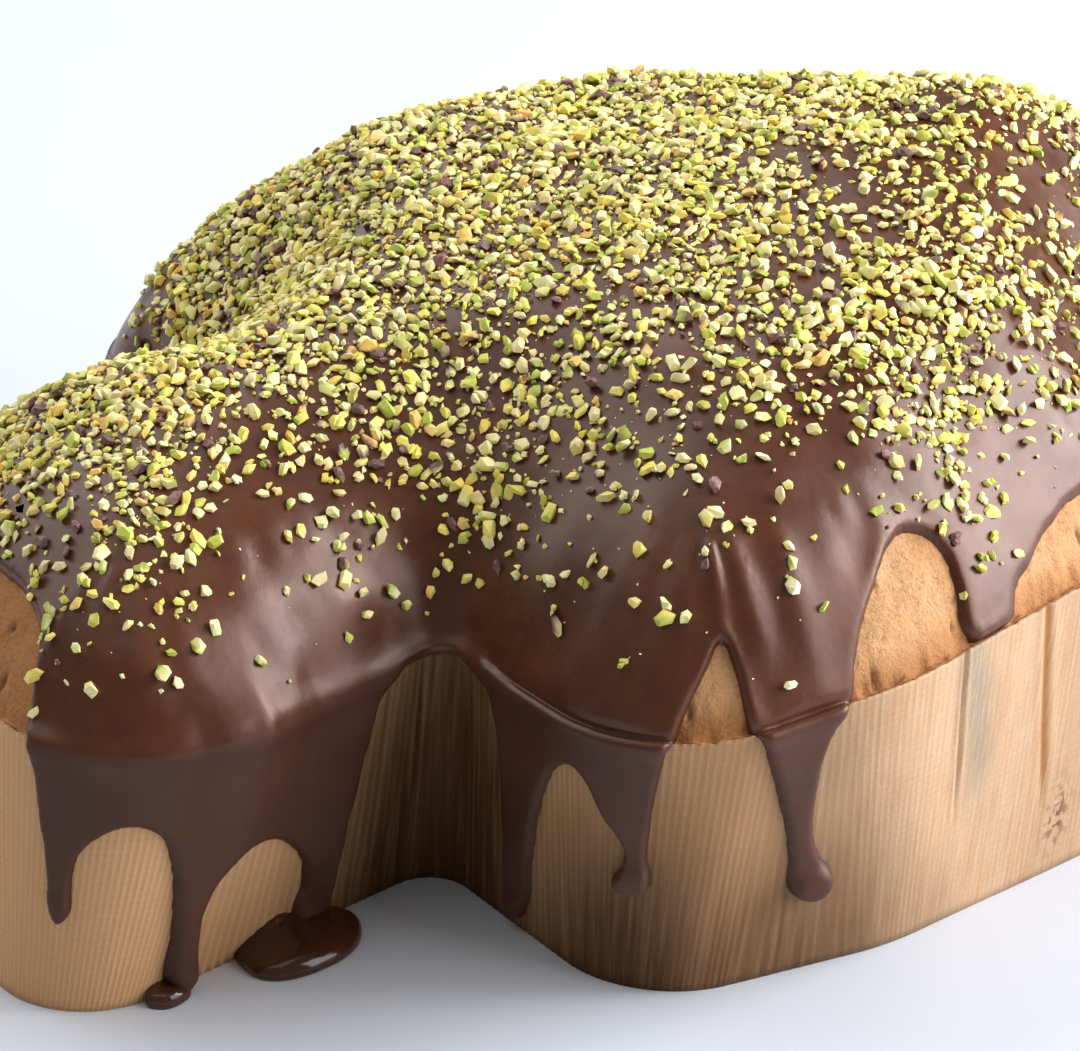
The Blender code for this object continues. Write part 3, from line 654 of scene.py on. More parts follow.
def paper_paint(look):
    """Kraft paper: mottled tan with fibres along the flutes, cool streaks, brown stains, painted shade and
    painted highlights on the flute crests.
    """
    paint = Paint("kraft_paper", 0.72, 0.25)
    wide = paint.place((0.5, 0.28, 1.0), "unrolled")
    fibre = paint.place((14.0, 0.9, 1.0), "unrolled")
    fine = paint.place((40.0, 9.0, 1.0), "unrolled")
    warm = paint.span(paint.cloud(wide, 1.6, 4.0), 0.38, 0.66)
    color = paint.mix(warm, look.paper_light, look.paper_warm)
    streak = paint.span(paint.cloud(fibre, 1.0, 3.0), 0.35, 0.7, 0.0, 0.55)
    color = paint.mix(streak, color, look.paper_pale)
    pulp = paint.span(paint.cloud(fine, 1.0, 2.0), 0.42, 0.75, 0.0, 0.3)
    color = paint.mix(pulp, color, look.paper_brown)
    bands = paint.cloud(paint.place((8.0, 0.3, 1.0), "unrolled"), 1.0, 3.0)
    color = paint.mix(paint.span(bands, 0.46, 0.72, 0.0, 0.26), color, look.paper_brown)
    marks = paint.channels("marks")
    grain = paint.span(paint.cloud(fibre, 1.7, 3.0), 0.26, 0.54)
    # Grey patches, some of them painted shade, broken up by the fibres
    grey_and_shade = paint.sum(marks["Blue"], grain, "MULTIPLY")
    color = paint.mix(grey_and_shade, color, look.paper_grey_and_shade)
    color = paint.mix(marks["Green"], color, look.paper_crease)
    blots = paint.span(paint.cloud(paint.place((4.4, 4.4, 1.0), "unrolled"), 1.0, 1.0), 0.5, 0.57)
    spots = paint.sum(marks["Red"], blots, "MULTIPLY")
    color = paint.mix(spots, color, look.paper_stain)
    # Painted shade from the patches, varied by the broad bands, over browner paper near the tail
    tones = paint.channels("soak")
    soak = paint.span(bands, 0.3, 0.7, 0.88, 1.1)
    color = paint.mix(tones["Blue"], color, look.paper_tan)
    color = paint.mix(paint.sum(tones["Red"], soak, "MULTIPLY"), color, look.paper_painted_shade)
    even = paint.place((1.0, 1.0, 1.0), "unrolled")
    level = paint.add("ShaderNodeSeparateXYZ", {"Vector": even}).outputs["Y"]
    bars = paint.sum(paint.sum(level, PAPER_RIBS, "MULTIPLY"), 0.0, "SINE")
    # Painted highlight: the paper is lighter on the flute crests where they show clearly, with fine ribs
    # across
    flutes = paint.span(tones["Green"], 0.0, 0.7, 0.0, 0.2)
    weave_and_crest_highlight = paint.sum(paint.span(bars, -1.0, 1.0, -0.018, 0.018), flutes)
    light = paint.sum(weave_and_crest_highlight, 0.9)
    shade = paint.add("ShaderNodeCombineColor", {0: light, 1: light, 2: light}).outputs[0]
    paint.link("Base Color", paint.mix(1.0, color, shade, "MULTIPLY"))
    paint.bump(paint.cloud(fine, 1.6, 3.0), 0.00012, 0.6)
    return paint.material


def crust_paint(look):
    """Baked crust: golden with browner crumbs at the rim, pores darkened with painted shade, painted shade
    at the tail's end, and a dusty crumb.
    """
    paint = Paint("bread_crust", 0.68, 0.25)
    wide = paint.place((110.0, 110.0, 110.0))
    crumbly = paint.place((1250.0, 1250.0, 1250.0))
    fine = paint.place((2300.0, 2300.0, 2300.0))
    color = paint.mix(paint.span(paint.cloud(wide, 1.0, 4.0), 0.35, 0.68), look.crust_gold, look.crust_tan)
    crumbs = paint.cloud(crumbly, 1.0, 4.0, 0.65)
    color = paint.mix(paint.span(crumbs, 0.4, 0.72, 0.0, 0.6), color, look.crust_pale)
    color = paint.mix(paint.span(crumbs, 0.44, 0.28, 0.0, 0.6), color, look.crust_brown)
    bake = paint.channels("bake")
    toast_and_shade = paint.sum(bake["Red"], paint.span(crumbs, 0.3, 0.62, 0.35, 1.0), "MULTIPLY")
    color = paint.mix(toast_and_shade, color, look.crust_brown)
    # Painted shade in the pores
    color = paint.mix(bake["Green"], color, look.crust_pore_shade)
    paint.link("Base Color", color)
    relief = paint.sum(crumbs, paint.sum(paint.cloud(fine, 1.0, 3.0), 0.35, "MULTIPLY"))
    paint.bump(relief, 0.00045, 0.8)
    return paint.material


def wet_paint(look):
    """Chocolate on the table: smoother and glossier than the coat."""
    paint = Paint("wet_chocolate", 0.14, 0.5)
    slow = paint.cloud(paint.place((90.0, 90.0, 90.0)), 1.0, 2.0)
    paint.link("Base Color", paint.mix(paint.span(slow, 0.3, 0.7), look.choc_dark, look.choc_deep))
    paint.link("Roughness", paint.span(slow, 0.3, 0.7, 0.1, 0.2))
    paint.bump(slow, 0.0006, 0.4)
    return paint.material


def chocolate_paint(look):
    """Set chocolate: deep brown, with painted shade on the case's wall and a soft gloss that is duller in
    places.
    """
    paint = Paint("dark_chocolate", 0.3, 0.5)
    paint.shader.inputs["Specular Tint"].default_value = (1.0, 0.80, 0.73, 1.0)
    wide = paint.place((60.0, 60.0, 60.0))
    mild = paint.place((330.0, 330.0, 330.0))
    color = paint.mix(paint.span(paint.cloud(wide, 1.0, 3.0), 0.35, 0.68), look.choc_deep, look.choc_warm)
    haze = paint.span(paint.cloud(mild, 1.0, 3.0), 0.5, 0.78, 0.0, 0.25)
    color = paint.mix(haze, color, look.choc_bloom)
    # Painted shade: the coat on the case's wall is darkened towards the dark chocolate colour
    wall = paint.channels("wall")["Red"]
    paint.link("Base Color", paint.mix(paint.sum(wall, 0.8, "MULTIPLY"), color, look.choc_dark))
    gloss = paint.span(paint.cloud(wide, 2.1, 4.0), 0.3, 0.7, look.choc_gloss, look.choc_dull)
    paint.link("Roughness", paint.sum(gloss, paint.sum(wall, 0.28, "MULTIPLY")))
    paint.bump(paint.cloud(mild, 0.8, 3.0), 0.0003, 0.25)
    return paint.material


def nut_paint():
    """Chopped kernel: the colours kept on each grain, with a slightly waxy cut face."""
    paint = Paint("chopped_pistachio", 0.5, 0.4)
    tiny = paint.place((1500.0, 1500.0, 1500.0))
    cloud = paint.cloud(tiny, 1.0, 3.0)
    color = paint.mix(paint.span(cloud, 0.3, 0.75, 0.0, 0.22), paint.tone("kernel"), (0.95, 0.9, 0.62))
    paint.link("Base Color", color)
    paint.shader.inputs["Subsurface Weight"].default_value = 0.25
    paint.shader.inputs["Subsurface Radius"].default_value = (0.0012, 0.0010, 0.0004)
    paint.bump(cloud, 0.00025, 0.5)
    return paint.material


def drip_side(side, side_level, flat, flat_level, square, count=26):
    """Quarter of a superellipse, from the upright side of a drip to the level crown."""
    angle = np.linspace(0, math.pi / 2, count)
    u = np.sin(angle) ** (2 / square)
    rise = np.cos(angle) ** (2 / square)
    places = flat + (side - flat) * u
    levels = flat_level + (side_level - flat_level) * (1 - rise)
    return np.stack([places, levels], axis=1)


def drip_tip(left, right, side, tip, bulb, lean):
    """The free sides of a drip and its round tip, from left to right."""
    middle = (left + right) / 2
    neck = (right - left) / 2
    end = neck * bulb
    drop = tip - end
    t = np.linspace(0, 1, 14)[1:]
    width = neck + (end - neck) * t * t * (3 - 2 * t) - neck * 0.12 * np.sin(math.pi * t)
    levels = side + (drop - side) * t
    shift = middle + lean * t * t
    first = np.stack([shift - width, levels], axis=1)
    turn = np.linspace(math.pi, 0, 17)[1:-1]
    bead = np.stack([middle + lean + end * np.cos(turn), drop + end * np.sin(turn)], axis=1)
    last = np.stack([shift + width, levels], axis=1)[::-1]
    return np.concatenate([first, bead, last])


def smooth_line(knots, steps=12):
    """Points on a smooth line through knots, with its bends spaced by the knots' distances."""
    knots = np.array(knots)
    ends = np.concatenate([[2 * knots[0] - knots[1]], knots, [2 * knots[-1] - knots[-2]]])
    gaps = np.sqrt(np.linalg.norm(np.diff(ends, axis=0), axis=1))
    points = []
    for i in range(len(knots) - 1):
        before, here, after = gaps[i:i + 3]
        p0, p1, p2, p3 = ends[i:i + 4]
        first = ((p1 - p0) / before - (p2 - p0) / (before + here) + (p2 - p1) / here) * here
        last = ((p2 - p1) / here - (p3 - p1) / (here + after) + (p3 - p2) / after) * here
        for t in np.arange(steps) / steps:
            points.append(p1 * (2 * t ** 3 - 3 * t * t + 1) + first * (t ** 3 - 2 * t * t + t)
                          + p2 * (3 * t * t - 2 * t ** 3) + last * (t ** 3 - t * t))
    return np.array(points + [knots[-1]])


def chocolate_edge():
    """The lower edge of the chocolate all the way round, as points of place and level."""
    pieces = [smooth_line(NEAR_EDGE)]
    for i, (left, right, side, tip, bulb, lean, _) in enumerate(DRIPS):
        place, level, _, after = CROWNS[i]
        pieces.append(drip_side(left, side, place, level, after)[1:-1])
        pieces.append(drip_tip(left, right, side, tip, bulb, lean))
        place, level, before, _ = CROWNS[i + 1]
        pieces.append(drip_side(right, side, place, level, before)[::-1][1:])
    rough = np.concatenate(pieces)
    rough[-1] = rough[0] + (RIM_TOTAL, 0.0)
    steps = np.concatenate([[0.0], np.cumsum(np.linalg.norm(np.diff(rough, axis=0), axis=1))])
    even = np.linspace(0, steps[-1], int(steps[-1] / EDGE_STEP))
    line = np.stack([np.interp(even, steps, rough[:, i]) for i in (0, 1)], axis=1)
    for _ in range(2):
        line[1:-1] = line[1:-1] * 0.5 + (line[2:] + line[:-2]) * 0.25
    ahead = np.gradient(line, axis=0)
    ahead /= np.maximum(np.linalg.norm(ahead, axis=1), 1e-9)[:, None]
    side = np.stack([ahead[:, 1], -ahead[:, 0]], axis=1)
    fade = np.minimum(1.0, np.minimum(even, even[-1] - even) / 6.0)
    spots = np.column_stack([line, np.zeros(len(line))])
    wobble = 0.28 * noise_at(spots, 5.5, 1.0) + 0.14 * noise_at(spots, 1.9, 2.0)
    return line + side * (wobble * fade)[:, None]


def fill_domain(outline, spots):
    """Triangles over a closed outline in the plane, through all given points."""
    everything = [Vector(p) for p in np.concatenate([outline, spots])]
    result = geometry.delaunay_2d_cdt(everything, [], [list(range(len(outline)))], 1, 1e-6)
    points = np.array([tuple(p) for p in result[0]])
    faces = np.array([tuple(f) for f in result[2]])
    first = points[faces[:, 1]] - points[faces[:, 0]]
    second = points[faces[:, 2]] - points[faces[:, 0]]
    area = first[:, 0] * second[:, 1] - first[:, 1] * second[:, 0]
    faces[area < 0] = faces[area < 0][:, ::-1]
    return points, faces[np.abs(area) > 1e-6]


def staggered(low, high, step):
    """A grid of points with every other row shifted."""
    rows = np.arange(low[1], high[1], step * math.sin(math.pi / 3))
    lines = []
    for i, y in enumerate(rows):
        xs = np.arange(low[0] + (step / 2 if i % 2 else 0.0), high[0], step)
        lines.append(np.stack([xs, np.full(len(xs), y)], axis=1))
    return np.concatenate(lines)


class Nearest:
    """Distance from points of the plane to the nearest of many."""

    def __init__(self, points):
        self.tree = kdtree.KDTree(len(points))
        for i, (x, y) in enumerate(points):
            self.tree.insert((x, y, 0.0), i)
        self.tree.balance()

    def read(self, points):
        """Distance to the nearest, for each point."""
        return np.array([self.tree.find((x, y, 0.0))[2] for x, y in points])


def band_mesh():
    """The chocolate on the case and up to the band's top, in the plane of place and level."""
    edge = chocolate_edge()
    start = float(edge[0, 0])
    stop = float(edge[-1, 0])
    rise = np.arange(edge[0, 1], BAND_TOP, -1.1)[1:]
    rise = rise[rise > BAND_TOP + 0.4]
    columns = int(RIM_TOTAL / CAP_STEP)
    right = np.stack([np.full(len(rise), stop), rise], axis=1)
    left = np.stack([np.full(len(rise), start), rise], axis=1)
    cap = np.stack([np.linspace(start, stop, columns), np.full(columns, BAND_TOP)], axis=1)
    outline = np.concatenate([edge, right, cap[::-1], left[::-1]])
    near_edge = Nearest(edge)
    coarse = staggered((start, BAND_TOP + 1.0), (stop, COAT_FOOT), BAND_STEP)
    coarse = coarse[(coarse[:, 0] > start + 0.9) & (coarse[:, 0] < stop - 0.9)]
    coarse = coarse[(near_edge.read(coarse) > COARSE_REACH) & inside(coarse, outline)]
    coarse = coarse[(coarse[:, 1] < COARSE_GAP[0]) | (coarse[:, 1] > COARSE_GAP[1])]
    fine = staggered((start, -16.0), (stop, COAT_FOOT), FINE_STEP)
    fine = fine[(fine[:, 0] > start + 0.4) & (fine[:, 0] < stop - 0.4)]
    close = near_edge.read(fine)
    by_rim = (fine[:, 1] > FINE_LEVELS[0]) & (fine[:, 1] < FINE_LEVELS[1])
    fine = fine[(close > FINE_REACH[0]) & ((close < FINE_REACH[1]) | by_rim)]
    fine = fine[inside(fine, outline)]
    flat, faces = fill_domain(outline, np.concatenate([coarse, fine]))
    around = np.concatenate([edge, edge + (RIM_TOTAL, 0), edge - (RIM_TOTAL, 0)])
    return flat, faces[:, ::-1], Nearest(around).read(flat), cap


def lid_mesh(ring):
    """The chocolate over the top, in plan, inside the band's upper ring."""
    spots = staggered((-150.0, -112.0), (152.0, 112.0), LID_STEP)
    spots = spots[Nearest(ring).read(spots) > 1.3]
    return fill_domain(ring, spots[inside(spots, ring)])


def coat_domain():
    """The chocolate as one mesh: unrolled round the outline, and in plan over the top."""
    flat, faces, reach, cap = band_mesh()
    band = unrolled(flat[:, 0], flat[:, 1])
    plan, lids = lid_mesh(unrolled(cap[:-1, 0], cap[:-1, 1])[:, :2])
    points = np.concatenate([band, np.column_stack([plan, LOAF.height(plan)])])
    places = np.concatenate([flat[:, 0], np.zeros(len(plan))])
    levels = np.concatenate([flat[:, 1], -LOAF.depth(plan)])
    reach = np.concatenate([reach, np.full(len(plan), 99.0)])
    faces = np.concatenate([faces, lids + len(band)])
    _, first, back = np.unique(np.round(points, 3), axis=0, return_index=True, return_inverse=True)
    faces = back.reshape(-1)[faces]
    good = (faces[:, 0] != faces[:, 1]) & (faces[:, 1] != faces[:, 2]) & (faces[:, 0] != faces[:, 2])
    return points[first], faces[good], places[first], levels[first], reach[first]


def beads():
    """The thick ends of all drips: place, level, half width and how far they stand out."""
    rows = list(NEAR_BEADS)
    for left, right, _, tip, bulb, lean, stand in DRIPS:
        half = (right - left) / 2 * bulb
        rows.append(((left + right) / 2 + lean, tip - half, half, stand))
    return rows


def soft_rim(places):
    """Share of the softly rounded rim at each place along it."""
    around = np.asarray(places) % RIM_TOTAL
    return sum(stretch(around, (start - 5.0, start + 5.0), (stop - 5.0, stop + 5.0))
               for start, stop in SOFT_RIMS)


def ridge(levels, level, wide):
    """A round ridge along the rim."""
    return np.exp(-((levels - level) / wide) ** 2)


def rim_relief(places, levels):
    """The coat's bead along the paper's rim, and the gap under it where it stands clear."""
    bead = sum(high * ridge(levels, level, wide) for level, wide, high in RIM_BEAD)
    gap = 0.0
    for start, stop, deep in RIM_GAPS:
        share = stretch(places, (start - 5.0, start + 5.0), (stop - 3.0, stop + 1.0))
        gap = gap + deep * share * (ridge(levels, -0.85, 0.6) - 0.25 * ridge(levels, -2.9, 1.2))
        bead = bead * (1 - share)
    soft = soft_rim(places)
    return bead * (1 - soft) + 0.45 * soft * ridge(levels, -1.2, 1.7) - gap


def coat_thickness(places, levels, reach, body):
    """Thickness of the chocolate: round at its edge, thicker in the drips and over the rim."""
    full = body * (1 - 0.3 * ramp(levels, 0.8, 4.5)) + 0.25 * ramp(levels, 8.0, 40.0)
    full = full + rim_relief(places, levels)
    for place, low, high, wide, tall in FOLDS:
        share = stretch(levels, (low - 6.0, low + 4.0), (high - 8.0, high + 2.0))
        full = full + tall * share * np.exp(-(from_place(places, place) / wide) ** 2)
    for place, low, high, wide, tall in CORNERS:
        share = stretch(levels, (low - 6.0, low + 2.0), (high - 8.0, high + 2.0))
        away = np.sqrt(from_place(places, place) ** 2 + 0.6)
        full = full + tall * share * np.maximum(1 - away / wide, 0)
    for place, level, half, stand in beads():
        across = from_place(places, place) / (half * 1.25)
        along = (levels - level) / (half * 1.1)
        full = full + stand * np.exp(-(across ** 2 + along ** 2) ** 2)
    full = full * (1 - 0.3 * ramp(-levels, 1.0, 3.0) * (1 - ramp(reach, 1.5, 10.0)))
    share = np.clip(reach / EDGE_ROUND, 0, 1)
    return full * np.sqrt(np.maximum(1 - (1 - share) ** 2, 0)) - 0.45 * (1 - share) ** 3


def coat_lumps(points, places, levels):
    """Slow swells of the chocolate: broad on top, running down the sides."""
    swells = sum(high * noise_at(points, scale, seed) for scale, seed, high in COAT_SWELLS)
    runs = noise_at(unrolled_spots(places, levels, 8.5, 42.0), 1.0, 6.0) * 0.7
    fold = noise_at(unrolled_spots(places, levels, 9.5, 34.0), 1.0, 16.0)
    curls = 1 - 2 * np.abs(noise_at(points, (6.5, 6.5, 5.0), 17.0))
    side = stretch(levels, (-36.0, -20.0), (-9.0, -1.5))
    total = swells * (1 - 0.85 * ramp(levels, -2.0, 5.0)) + runs * side
    for place, across, much, curly in WRINKLES:
        share = np.exp(-(from_place(places, place) / across) ** 2) * side
        total = total + (fold * much + curls * curly) * share
    return total


def round_grid(places, levels):
    """Points and quads of a closed strip: levels down, places around."""
    count = len(places)
    s = np.tile(places, len(levels))
    p = np.repeat(levels, count)
    i = np.arange(count)
    rows = [np.stack([r * count + i, (r + 1) * count + i, (r + 1) * count + (i + 1) % count,
                      r * count + (i + 1) % count], axis=1) for r in range(len(levels) - 1)]
    return s, p, np.concatenate(rows)


def length_property(label, words, value, low, high):
    """A length in millimetres that a user may change."""
    return FloatProperty(name=label, description=words, default=value, min=low, max=high, subtype="DISTANCE")


class ColombaSizes(PropertyGroup):
    """Sizes a user may change."""

    flute_pitch: length_property("Flute pitch", "Distance between flutes of the case", 1.6, 0.8, 5.0)
    flute_depth: length_property("Flute depth", "Depth of the flutes of the case", 0.24, 0.0, 1.0)
    coat_thickness: length_property("Coat", "Thickness of the chocolate coat", 1.9, 0.5, 4.0)
    lump_height: FloatProperty(name="Lumps", description="Share of the swells in the chocolate",
                               default=1.0, min=0.0, max=3.0, subtype="FACTOR")
    large_grains: IntProperty(name="Large grains", description="Chopped kernels of about 2 to 5 mm",
                              default=6900, min=0, max=9000)
    small_grains: IntProperty(name="Small grains", description="Chopped kernels of about 1 to 3 mm",
                              default=6400, min=0, max=9000)
    dust_grains: IntProperty(name="Dust", description="Specks of kernel of about 1 mm or less",
                             default=5000, min=0, max=20000)


def color_property(label, words, value):
    """A colour that a user may change."""
    return FloatVectorProperty(name=label, description=words, default=value, size=3, min=0.0, max=1.0,
                               subtype="COLOR")


class ColombaLooks(PropertyGroup):
    """Colours a user may change."""

    paper_light: color_property("Paper", "Kraft paper", (0.73, 0.475, 0.285))
    paper_warm: color_property("Warm paper", "Redder paper", (0.66, 0.39, 0.205))
    paper_pale: color_property("Pale fibre", "Palest fibres", (0.80, 0.60, 0.42))
    paper_brown: color_property("Brown fibre", "Brownest fibres", (0.47, 0.27, 0.12))
    paper_grey_and_shade: color_property("Cool streak", "Grey streaks and painted shade", (0.41, 0.33, 0.23))
    paper_crease: color_property("Crease", "Glue line in a crease", (0.42, 0.185, 0.05))
    paper_stain: color_property("Stain", "Chocolate stain", (0.16, 0.05, 0.02))
    paper_tan: color_property("Tan paper", "Browner paper near the tail", (0.66, 0.365, 0.165))
    # Colour of the painted shade on the case
    paper_painted_shade: color_property("Painted shade", "Painted shade on the paper", (0.082, 0.030, 0.0045))
    crust_gold: color_property("Gold crust", "Crust", (0.58, 0.315, 0.14))
    crust_tan: color_property("Tan crust", "Browner crust", (0.50, 0.235, 0.084))
    crust_pale: color_property("Pale crumb", "Crumb", (0.67, 0.435, 0.25))
    crust_brown: color_property("Brown crust", "Baked edge", (0.36, 0.14, 0.035))
    # Colour of the painted shade inside the pores
    crust_pore_shade: color_property("Pit", "Inside of a pore", (0.12, 0.042, 0.014))
    choc_dark: color_property("Dark chocolate", "Chocolate on the case and table", (0.050, 0.0165, 0.0075))
    choc_deep: color_property("Chocolate", "Chocolate", (0.066, 0.020, 0.0088))
    choc_warm: color_property("Warm chocolate", "Redder chocolate", (0.098, 0.031, 0.0122))
    choc_bloom: color_property("Bloom", "Palest chocolate", (0.13, 0.05, 0.027))
    choc_gloss: FloatProperty(name="Gloss", description="Least roughness", default=0.25, min=0.0, max=1.0)
    choc_dull: FloatProperty(name="Dull", description="Most roughness", default=0.38, min=0.0, max=1.0)
    kernel_pale: color_property("Pale kernel", "Most of the chopped kernels", (1.0, 0.855, 0.42))
    kernel_yellow: color_property("Yellow kernel", "Yellow sides of the kernels", (0.97, 0.75, 0.13))
    kernel_green: color_property("Green kernel", "Greener kernels", (0.49, 0.565, 0.055))
    kernel_gold: color_property("Gold kernel", "Roasted kernels", (0.95, 0.58, 0.12))
    kernel_skin: color_property("Skin", "Purple brown skin", (0.13, 0.026, 0.048))


def power_property(label, words, value):
    """A lamp's power that a user may change."""
    return FloatProperty(name=label, description=words, default=value, min=0.0, unit="POWER")


class ColombaStage(PropertyGroup):
    """The camera, the floor and the lights."""

    focal: FloatProperty(name="Focal length", description="Lens of the camera", default=133.3333,
                         min=20.0, max=400.0, unit="CAMERA")
    camera_place: FloatVectorProperty(name="Camera", description="Place of the camera",
                                      default=(-0.4145, -0.6166, 0.4208), subtype="XYZ", unit="LENGTH")
    camera_aim: FloatVectorProperty(name="Aim", description="Direction in which the camera looks",
                                    default=(0.4857, 0.7479, -0.4524), subtype="DIRECTION")
    floor: color_property("Floor", "Pale floor", (0.635, 0.685, 0.76))
    sky: FloatProperty(name="Sky", description="Light from all round", default=0.2, min=0.0, max=5.0)
    window: power_property("Window", "Light from the right", 34.5)
    side_window: power_property("Side window", "Light from the front right", 13.5)
    ceiling: power_property("Ceiling", "Light from above", 15.0)
    back_wall: power_property("Back wall", "Light from behind", 27.0)


def clear_flutes(places):
    """How clearly the flutes show along the rim: most in the near notch, little elsewhere."""
    bumps = ((120.0, 85.0, 0.7), (700.0, 130.0, 0.5), (RIM_TOTAL, 50.0, 0.5))
    return 0.14 + sum(much * np.exp(-((places - place) / reach) ** 2) for place, reach, much in bumps)


def creases(places, levels):
    """Relief of the case's creases and their orange glue lines."""
    relief = np.zeros(len(places))
    glue = np.zeros(len(places))
    for place, depth, width, foot, orange, lean in CREASES:
        away = places - place - lean * levels + 0.5 * np.sin(levels / 17.0)
        line = np.abs(from_place(away, 0.0))
        fade = 1 - ramp(levels, foot - 14.0, foot)
        lips = 0.5 * np.exp(-((line - 2.2 * width) / width) ** 2)
        relief += depth * (lips - np.exp(-(line / width) ** 2)) * fade
        glue += orange * np.exp(-(line / (width * 1.2)) ** 4) * fade
    return relief, glue


def patches(rows, places, levels):
    """Squared distances from patches of the case, in reaches, with the patches' amounts."""
    for place, level, across, down, amount in rows:
        yield (from_place(places, place) / across) ** 2 + ((levels - level) / down) ** 2, amount


def case_marks(places, levels, glue):
    """Stains, glue lines, and grey patches with some painted shade, as red, green and blue."""
    stains, grey_and_shade = (sum(amount * np.exp(-spot) for spot, amount in patches(rows, places, levels))
                    for rows in (STAINS, GREY_AND_SHADE_PATCHES))
    return np.clip(np.stack([stains, glue, grey_and_shade], axis=1), 0, 1)


def case_tones(places, levels, flutes):
    """Painted shade, painted highlight on the flute crests and browner paper, as red, green and blue."""
    # Painted shade: the strongest of the patches at each point
    soak = np.zeros(len(places))
    for spot, amount in patches(PAINTED_SHADE_PATCHES, places, levels):
        soak = np.maximum(soak, amount * np.exp(-spot ** 1.5))
    leaves, comes = TAN_FADES
    tan = TAN_AMOUNT * (1 - ramp(places, *leaves)) + TAN_AMOUNT * ramp(places, *comes)
    return np.stack([soak, flutes, tan], axis=1)


def close_case(points, wall, places):
    """Adds the lip, the inside of the wall and the sole to the outer wall."""
    count = len(places)
    base = len(points)
    inner, low = (unrolled(places, np.full(count, level), out) for level, out in INNER_LIP)
    inner[:, 2] = points[:count, 2] - 0.05
    sole = points[-count:] * SOLE_SHARES
    i = np.arange(count)
    n = (i + 1) % count
    foot = base - count
    inset = base + 2 * count
    quads = np.concatenate([
        wall,
        np.stack([i, n, n + base, i + base], axis=1),
        np.stack([i + base, n + base, n + base + count, i + base + count], axis=1),
        np.stack([i + foot, i + inset, n + inset, n + foot], axis=1),
    ])
    fan = np.stack([i + inset, np.full(count, inset + count), n + inset], axis=1)
    return np.concatenate([points, inner, low, sole, np.zeros((1, 3))]), quads.tolist() + fan.tolist()


class COLOMBA_OT_paper_case(Operator):
    """Builds the fluted paper case"""

    bl_idname = "colomba.paper_case"
    bl_label = "Paper case"

    def execute(self, context):
        """Fluted wall outside, plain wall and floor inside."""
        sizes = context.scene.colomba_sizes
        flutes = round(RIM_TOTAL / sizes.flute_pitch)
        count = flutes * POINTS_PER_FLUTE
        places = RIM_TOTAL * np.arange(count) / count
        s, share, wall = round_grid(places, np.array(WALL_SHARES))
        rim, _ = RIM.read(*rim_numbers(s))
        level = share * rim_height(rim[:, 0])
        phase = s / RIM_TOTAL * flutes
        ripple = np.abs(np.sin(math.pi * phase)) ** 0.7
        clear = clear_flutes(s)
        relief, glue = creases(s, level)
        spots = unrolled_spots(s, level, 34.0, 60.0)
        uneven = 0.8 + 0.5 * noise_at(spots, 0.4, 9.0)
        out = relief + 0.5 * noise_at(spots, 1.0, 8.0) - sizes.flute_depth * ripple * clear * uneven
        points = unrolled(s, level, out)
        torn = noise_at(unrolled_spots(s, s * 0, 1.0, 1.0), 2.2, 10.0)
        teeth = 0.16 * clear * np.cos(2 * math.pi * phase) + 0.35 * torn
        points[:, 2] += np.where(share < 0.01, teeth, np.where(share < 0.03, teeth * 0.6, 0.0))
        points, faces = close_case(points, wall, places)
        obj = make_piece("fluted_case", points, faces, paper_paint(context.scene.colomba_looks))
        pad = len(points) - len(s)
        add_unrolled_map(obj, np.concatenate([s, np.resize(places, pad)]),
                         np.concatenate([level, np.full(pad, HIDDEN_LEVEL)]))
        add_tone(obj, "marks", np.concatenate([case_marks(s, level, glue), np.zeros((pad, 3))]))
        # Painted highlight on the flute crests, where the flutes show clearly
        tones = case_tones(s, level, (1 - ripple) * clear)
        add_tone(obj, "soak", np.concatenate([tones, np.tile(HIDDEN_TONES, (pad, 1))]))
        settle(obj, "kraft_paper", "paper_case")
        return {"FINISHED"}


def crust_pores(places, levels):
    """How deep in a pore each point of the crust lies, from 0 to 1."""
    pores = np.zeros(len(places))
    rng = random.Random(31)
    for _ in range(PORES):
        place = rng.uniform(0, RIM_TOTAL)
        level = -rng.triangular(1.2, 14.0, 2.5)
        size = rng.uniform(0.3, 0.8)
        tall = size * rng.uniform(0.5, 1.8)
        away = from_place(places, place)
        close = np.abs(away) < 3.0
        spot = (away[close] / size) ** 2 + ((levels[close] - level) / tall) ** 2
        pores[close] = np.maximum(pores[close], np.exp(-spot))
    return pores


